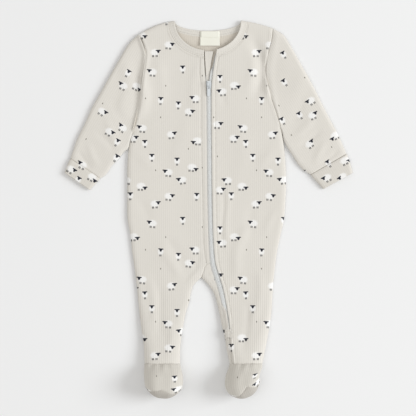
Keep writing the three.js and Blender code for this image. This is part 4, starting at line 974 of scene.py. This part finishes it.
# %% Neck binding
def binding_half(hand, across=20, along=110):
    """Rows along the neck from the zip to the shoulder fold, then round to the middle of the back."""
    width = np.linspace(0, 1, across)[None, :] * NECK["binding"]
    share = np.linspace(1, 0, along)[:, None]
    rounded = 0.5 * np.sin(np.pi * width / NECK["binding"]) ** 0.7
    turned_edge = 1.3 * np.exp(-((width / 3.2) ** 2))
    seam = -0.55 * np.exp(-(((width - 10) / 0.8) ** 2))
    groove = -0.3 * np.exp(-(((width - 7.4) / 0.6) ** 2))
    plump = rounded + turned_edge + seam + groove
    x, y = neck_point(hand, NECK["front"], width, neck_end(hand, width) * share)
    front = np.stack([x, y, front_height(x, y) + plump * turned_flat(x, y, 8)], -1)
    share = np.linspace(0, 1, along // 2)[:, None]
    back_x, back_y = neck_point(hand, NECK["back"], width, share * np.pi / 2)
    back = np.stack([back_x, back_y, back_height(back_x, back_y) + 0.4 * plump * share], -1)
    points = np.concatenate([front[:-1], back])
    steps = np.linalg.norm(np.diff(points[:, :1], axis=0), axis=-1)
    run = np.concatenate([[[0]], np.cumsum(steps, 0)])
    grain = np.stack([run + 0 * width, -width + 0 * run], -1)
    return (points, grain) if hand == "right" else (points[:, ::-1], grain[:, ::-1])


cloth("neck_binding", [binding_half(h) for h in SIGN], CLOTH, (0, 240, -900), (BAND, BAND))

# %% [markdown]
# ## The zip
# A nylon coil zip: two woven tapes under the cloth, a row of small teeth on each, closed from the
# slider down. The tapes are pale blue-grey, so they show as a cool band between the warm panels.

# %% Zip finishes
def plain(name, colour, roughness, **more):
    """One colour and one roughness all over."""
    nodes = Nodes(name)
    nodes.plug(Base_Color=colour, Roughness=roughness, **more)
    return nodes.material


def woven(name, colour, pitch):
    """Woven tape: fine ribs across it as a bump."""
    nodes = Nodes(name)
    across, along, _ = nodes.parts(nodes.add("ShaderNodeUVMap", uv_map="grain"))
    height = nodes.math("SINE", nodes.math("MULTIPLY", along, 2 * math.pi / pitch))
    bump = nodes.add("ShaderNodeBump", {"Strength": 0.4, "Distance": 0.0003, "Height": height})
    nodes.plug(Base_Color=colour, Roughness=0.8, Normal=bump)
    return nodes.material


TAPE_CLOTH = woven("zip tape", (0.745, 0.755, 0.75, 1), 1.0)
TEETH = plain("zip teeth", (0.79, 0.80, 0.795, 1), 0.42)
ENAMEL = plain("enamelled metal", (0.66, 0.69, 0.71, 1), 0.35, Metallic=0.1, Coat_Weight=0.3)
THREAD = plain("sewing thread", (0.66, 0.635, 0.585, 1), 0.75)
THREAD_DARK = plain("seam thread", (0.52, 0.49, 0.44, 1), 0.8)
SATIN = plain("satin label", (0.82, 0.81, 0.72, 1), 0.55, Sheen_Weight=0.1)


# %% Tapes and teeth
def normal_of(x, y, step=0.05):
    """The front's upward normal, from its slopes."""
    slope_x = (front_height(x + step, y) - front_height(x - step, y)) / (2 * step)
    slope_y = (front_height(x, y + step) - front_height(x, y - step)) / (2 * step)
    up = np.stack([-slope_x, -slope_y, np.ones_like(slope_x)], -1)
    return up / np.linalg.norm(up, axis=-1, keepdims=True)


def on_front(x, y, out):
    """Points carried on the front, moved out of it along its normal."""
    x, y = np.broadcast_arrays(x, y)
    return np.stack([x, y, front_height(x, y)], -1) + normal_of(x, y) * np.asarray(out)[..., None]


def slant(hand, y):
    return np.hypot(1, (chain[hand](y + 1) - chain[hand](y - 1)) / 2)


# Above these heights the open tapes slip back under the cloth
TUCK_FROM = {"right": 196, "left": 214}


def zip_tape(hand):
    y = np.linspace(251, -200, 420)[:, None]
    room = np.where(y < STRIP_TOP_Y, chain["right"](y) - strip_inner_edge(y) - 3.2, 11.0)
    width = np.minimum(11.0, room) if hand == "right" else 11.0 + 0 * y
    away = mix(0.5, width, np.linspace(0, 1, 8)[None, :])
    tucked = smooth((y - TUCK_FROM[hand]) / 10)
    shift = 2.6 * smooth((y - TUCK_FROM[hand] - 4) / 12)
    x = chain[hand](y) + SIGN[hand] * (away + shift) * slant(hand, y)
    near = mix(-0.5, -2.6, tucked)
    under = mix(near, -(CLOTH / 2 + 0.45 + TAPE / 2) - 0.9 * tucked, smooth((away - 2.9) / 1.3))
    grid = on_front(x, y + 0 * x, under), np.stack([x, y + 0 * x], -1)
    return cloth(f"zip_tape_{hand}", [grid], TAPE, (0, 0, -900), (TAPE_CLOTH, TAPE_CLOTH))


for hand in SIGN:
    zip_tape(hand)
TOOTH_PITCH = 1.45
BOX = np.array([(a, b, c) for c in (0, 1) for b in (-1, 1) for a in (-1, 1)], float)
BOX_FACES = np.array(
    [(0, 2, 3, 1), (4, 5, 7, 6), (0, 1, 5, 4), (2, 6, 7, 3), (0, 4, 6, 2), (1, 3, 7, 5)]
)


def bars(name, centre, along, across, up, size, finish, taper=0.72):
    """Many small bars in one mesh. size is half length, half width and height; tops are narrower."""
    shape = BOX * np.array(size)
    shape = shape * np.where(BOX[:, 2:] > 0, (taper, taper, 1), (1, 1, 1))
    axes = np.stack([along, across, up], 1)
    points = centre[:, None] + np.einsum("vk,nkc->nvc", shape, axes)
    faces = BOX_FACES[None] + 8 * np.arange(len(centre))[:, None, None]
    made = make_mesh(name, points.reshape(-1, 3), faces.reshape(-1, 4), finishes=[finish])
    made.data.polygons.foreach_set("use_smooth", np.zeros(len(made.data.polygons), bool))
    PIECES[name] = made
    print(name, len(centre), "bars")
    return made


def frames_along(points, up):
    """Unit vectors along a line of points, across it and up."""
    along = np.gradient(points, axis=0)
    along /= np.linalg.norm(along, axis=1, keepdims=True)
    across = np.cross(up, along)
    across /= np.linalg.norm(across, axis=1, keepdims=True)
    return along, across, np.cross(along, across)


def zip_teeth(hand):
    """Teeth along one tape; the other tape's stand half a pitch further on."""
    y = np.arange(246, -192, -TOOTH_PITCH) - (TOOTH_PITCH / 2 if hand == "left" else 0)
    width = np.clip(cloth_from_chain[hand](y) - 0.6, 1.2, 2.4)
    aside = width.mean() / 2 - 0.35 + 2.6 * smooth((y - TUCK_FROM[hand] - 4) / 12)
    x = chain[hand](y) + SIGN[hand] * aside * slant(hand, y)
    centre = on_front(x, y, mix(-0.5, -2.5, smooth((y - TUCK_FROM[hand] - 1) / 10)))
    along, across, up = frames_along(centre, normal_of(x, y))
    return bars(f"zip_teeth_{hand}", centre, along, across, up, (0.6, width.mean() / 2, 1.25), TEETH)


for hand in SIGN:
    zip_teeth(hand)

# %% Guard and end tab
def strip_sheet(name, x, y, z, thickness, finishes):
    points = np.stack(np.broadcast_arrays(x, y, z), -1)
    return cloth(name, [(points, points[..., :2])], thickness, (0, 0, -900), finishes)


t = np.linspace(0, 1, 60)[:, None]
guard_y = mix(251, 178, t)
narrowing, tucked_in = np.clip((251 - guard_y) / 45, 0, 1), smooth((207 - guard_y) / 8)
guard_right = mix(mix(-6.4, -3.8, narrowing), -8.0, tucked_in)
slit = mix(2.6, 1.2, narrowing)
guard_left = mix(chain["left"](guard_y) + 0.5 - slit, 9.0, tucked_in)
guard_x = mix(guard_right, guard_left, np.linspace(0, 1, 24)[None, :])
guard_z = mix(3.9, 2.4, tucked_in) + 0.2 * np.sin(guard_x / 3 + guard_y / 21)
strip_sheet("zip_guard", guard_x, guard_y, guard_z, 1.2, (PRINTED, PLAIN))
tab_y = mix(-190, -204, np.linspace(0, 1, 14))[:, None]
tab_x = chain["left"](np.maximum(tab_y, ZIP_END_Y)) + np.maximum(0, ZIP_END_Y - tab_y) * 0.12
tab_points = on_front(tab_x + mix(-3.8, 5.2, np.linspace(0, 1, 12))[None, :], tab_y, np.float64(2.3))
cloth("zip_end_tab", [(tab_points, tab_points[..., :2])], 1.3, (0, 0, -900), (BAND, BAND))

# %% [markdown]
# ## Labels
# Two bare satin labels are sewn into the back of the neck, a short one over a long one.

# %% Labels
LABELS = {"long": (-13.6, 17.6, 282.6, 259.6, 2.1), "short": (-12.2, 16.6, 282.6, 273.2, 3.0)}
TAGS = {}
for size, (right, left, top, bottom, height) in LABELS.items():
    tag_y = mix(top, bottom, np.linspace(0, 1, 24))[:, None]
    tag_x = mix(right, left, np.linspace(0, 1, 24))[None, :]
    tag_z = height + 2.4 * ((top - tag_y) / 23) ** 2 + 0.15 * np.sin(tag_x / 4) * (top - tag_y) / 23
    TAGS[size] = strip_sheet(f"label_{size}", tag_x, tag_y, tag_z, 0.6, (SATIN, SATIN))

# %% [markdown]
# ## Sewing
# A topstitch is a row of short threads that sink into the cloth. Each is a small bar laid along a
# line on the surface, so one function can sew every seam: give it the line and its height.

# %% Stitches
def evenly(points, pitch):
    """A line of points resampled at a pitch along its length."""
    run = np.concatenate([[0], np.cumsum(np.linalg.norm(np.diff(points, axis=0), axis=1))])
    at = np.arange(pitch / 2, run[-1], pitch)
    return np.stack([np.interp(at, run, points[:, k]) for k in range(points.shape[1])], -1)


def stitches(name, lines, height, finish=None, length=2.3, gap=0.8, width=0.42, out=0.62):
    """Threads along several lines of (x, y), at a height over the layer's middle surface."""
    parts = []
    for line in lines:
        flat = evenly(np.asarray(line, float), length + gap)
        z = height(flat[:, 0], flat[:, 1]) + out
        points = np.column_stack([flat, z])
        up = np.tile((0.0, 0.0, 1.0), (len(points), 1))
        parts.append((points, *frames_along(points, up)))
    joined = [np.concatenate(kind) for kind in zip(*parts)]
    return bars(name, *joined, (length / 2, width / 2, 0.42), finish or THREAD)


def neck_line(hand, depth, width, share0=0.0, share1=1.0, back=False):
    share = np.linspace(share0, share1, 90)
    end = np.pi / 2 if back else neck_end(hand, np.float64(width))
    return np.column_stack(neck_point(hand, depth, width, end * share))


def zip_line(hand, offset, top, bottom):
    y = np.linspace(top, bottom, 400)
    away = offset(y) if callable(offset) else offset
    return np.column_stack([chain[hand](y) + SIGN[hand] * away * slant(hand, y), y])


def armhole_line(hand, away):
    y = np.linspace(armhole_top[hand] - 6, ARMPIT[hand][1] + 8, 160)
    return np.column_stack([armhole[hand](y) - SIGN[hand] * away, y])


def front_seams(x, y):
    hand_is_left = x > chain["right"](y)
    extra = np.where(hand_is_left, front_finish("left", x, y), front_finish("right", x, y))
    return front_height(x, y) + extra


seam_y = np.linspace(-206, ANKLE_Y + 1, 40)
tab_box = np.array([(-2.7, -192.5), (4.1, -192.5), (3.6, -202.6), (-3.4, -202.6), (-2.7, -192.5)])
tab_box = evenly(tab_box + (float(chain["left"](-198.0)), 0), 0.4)
leg_seam = lambda x, y: front_height(x, y) + seam_grooves(x, y)
tab_top = lambda x, y: front_height(x, y) + 2.3
LINES = {
    "neck": [neck_line(h, NECK["front"], w, 0.04) for h in SIGN for w in (7.2, 12.6)],
    "neck_edge": [neck_line(h, NECK["front"], 2.6, 0.04) for h in SIGN],
    "back_neck": [neck_line(h, NECK["back"], w, 0.1, 1, True) for h in SIGN for w in (3.0, 7.2)],
    "zip": [zip_line(h, TOPSTITCH[h], 246, -196) for h in SIGN],
    "leg_seam": [np.column_stack([ankle_seam(seam_y) + away, seam_y]) for away in (-2.2, 2.2)],
    "end_tab": [tab_box],
    "armhole": [armhole_line(h, 3.2) for h in SIGN],
}
# The surface that each row of stitches lies on, and how it differs from the others
KINDS = {
    "neck": (front_seams, dict(out=0.75)), "neck_edge": (front_seams, dict(out=0.85)),
    "back_neck": (back_height, dict(out=0.9)), "zip": (front_seams, dict(out=0.78)),
    "leg_seam": (leg_seam, dict(finish=THREAD_DARK, out=0.75)),
    "end_tab": (tab_top, dict(finish=THREAD_DARK, length=1.3, gap=0.3, width=0.5)),
    "armhole": (front_seams, dict(out=0.72)),
}
SEWING = {
    seam + "_stitching": stitches(seam + "_stitching", LINES[seam], surface, **how)
    for seam, (surface, how) in KINDS.items()
}

# %% [markdown]
# ## Attaching the pieces to the garment
# Each soft piece stands for the solid that it was worked out from. The slider and its pull stay the
# part's own solids, with a coat of enamel.

# %% What replaces what
STANDS_FOR = {
    "jersey": {
        "front_right": "front_right_panel", "front_left": "front_left_panel", "back": "back_panel",
        "inner_leg_strip": "inner_leg_strip", "neck_binding": "neck_binding",
        "zip_guard": "zip_guard", "zip_end_tab": "zip_end_tab",
    },
    "zip_tape": {}, "zip_teeth": {},
    "label": {"label_long": "label_long", "label_short": "label_short"},
}
for hand in SIGN:
    for name in ("sleeve", "cuff", "foot_upper", "foot_sole"):
        STANDS_FOR["jersey"][f"{name}_{hand}"] = f"{name}_{hand}"
    STANDS_FOR["zip_tape"][f"zip_tape_{hand}"] = f"zip_tape_{hand}"
    STANDS_FOR["zip_teeth"][f"zip_teeth_{hand}"] = f"zip_coil_{hand}"
for finish, pairs in STANDS_FOR.items():
    for name, node in pairs.items():
        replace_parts(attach(PIECES[name], "garment"), node)
for name in SEWING:
    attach(PIECES[name], "garment")
for name in ("zip_slider", "zip_pull"):
    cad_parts[name].data.materials.clear()
    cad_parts[name].data.materials.append(ENAMEL)
print(len(PIECES), "pieces made")

# %% [markdown]
# ## The cut of each piece
# A table gives each sheet of cloth's cut: width and length in metres, and its flat area where the
# cut is not a rectangle. A tube's cut is all round it. The loop below only looks up what each sheet
# lies on, and nothing else is done with the table.

# %% Cuts
CUTS = {
    "back": (0.252, 0.595, 0.1147), "front_right": (0.127, 0.588, 0.0540),
    "front_left": (0.117, 0.573, 0.0487), "inner_leg_strip": (0.022, 0.172, 0.0018),
    "sleeve_right": (0.134, 0.225, 0.0264), "sleeve_left": (0.142, 0.232, 0.0289),
    "cuff_right": (0.112, 0.026, 0.0025), "cuff_left": (0.130, 0.031, 0.0036),
    "foot_upper_right": (0.093, 0.055, 0.0039), "foot_upper_left": (0.091, 0.060, 0.0035),
    "foot_sole_right": (0.056, 0.066, 0.0030), "foot_sole_left": (0.056, 0.066, 0.0028),
    "neck_binding": (0.0105, 0.309, None), "zip_tape_right": (0.011, 0.463, 0.0044),
    "zip_tape_left": (0.011, 0.455, 0.0048), "zip_guard": (0.0172, 0.0732, 0.00099),
    "zip_end_tab": (0.0102, 0.0142, None), "label_long": (0.0312, 0.0232, None),
    "label_short": (0.0288, 0.0100, None),
}
LIES_ON = {"back": ["floor"], "label_short": ["label_long_cloth"]}
for name, (width, length, area) in CUTS.items():
    lies_on = LIES_ON.get(name, ["back_cloth"])
    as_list(lies_on)
print(len(CUTS), "sheets of cloth")

# %% [markdown]
# ## Floor, light and camera
# The sleepsuit lies on a pale floor under soft light from the upper right, and the camera looks
# straight down from far away, so that the garment shows in its true proportions.

# %% Floor
bpy.ops.mesh.primitive_plane_add(size=8, location=(0, 0, -0.0002))
floor = bpy.context.object
floor.name = "floor"
floor.data.materials.append(plain("floor", (0.815, 0.815, 0.815, 1), 0.9))

# %% Light
world = bpy.context.scene.world or bpy.data.worlds.new("studio")
bpy.context.scene.world = world
world.use_nodes = True
world.node_tree.nodes["Background"].inputs[0].default_value = (1, 0.98, 0.95, 1)
world.node_tree.nodes["Background"].inputs[1].default_value = 0.6


def lamp(name, place, size, power):
    """A square soft lamp that faces the garment."""
    data = bpy.data.lights.new(name, "AREA")
    data.size, data.energy, data.color = size, power, (0.94, 0.97, 1.0)
    made = bpy.data.objects.new(name, data)
    bpy.context.scene.collection.objects.link(made)
    made.location = place
    aim = -np.array(place)
    tilt, turn = math.acos(-aim[2] / np.linalg.norm(aim)), math.atan2(aim[1], aim[0])
    made.rotation_euler = (tilt, 0, turn - math.pi / 2)
    return made


lamp("key", (6.5, 0.3, 3.9), 3.6, 400)
lamp("fill", (-3.4, -1.2, 7.0), 6.0, 118)

# %% Camera
camera_data = bpy.data.cameras.new("camera")
camera_data.sensor_width, camera_data.lens = 36, 36 * 5.0 / 0.6603
camera = bpy.data.objects.new("camera", camera_data)
bpy.context.scene.collection.objects.link(camera)
camera.location = (-0.00095, 0.0022, 5.0)
bpy.context.scene.camera = camera
bpy.context.scene.view_settings.view_transform = "Standard"
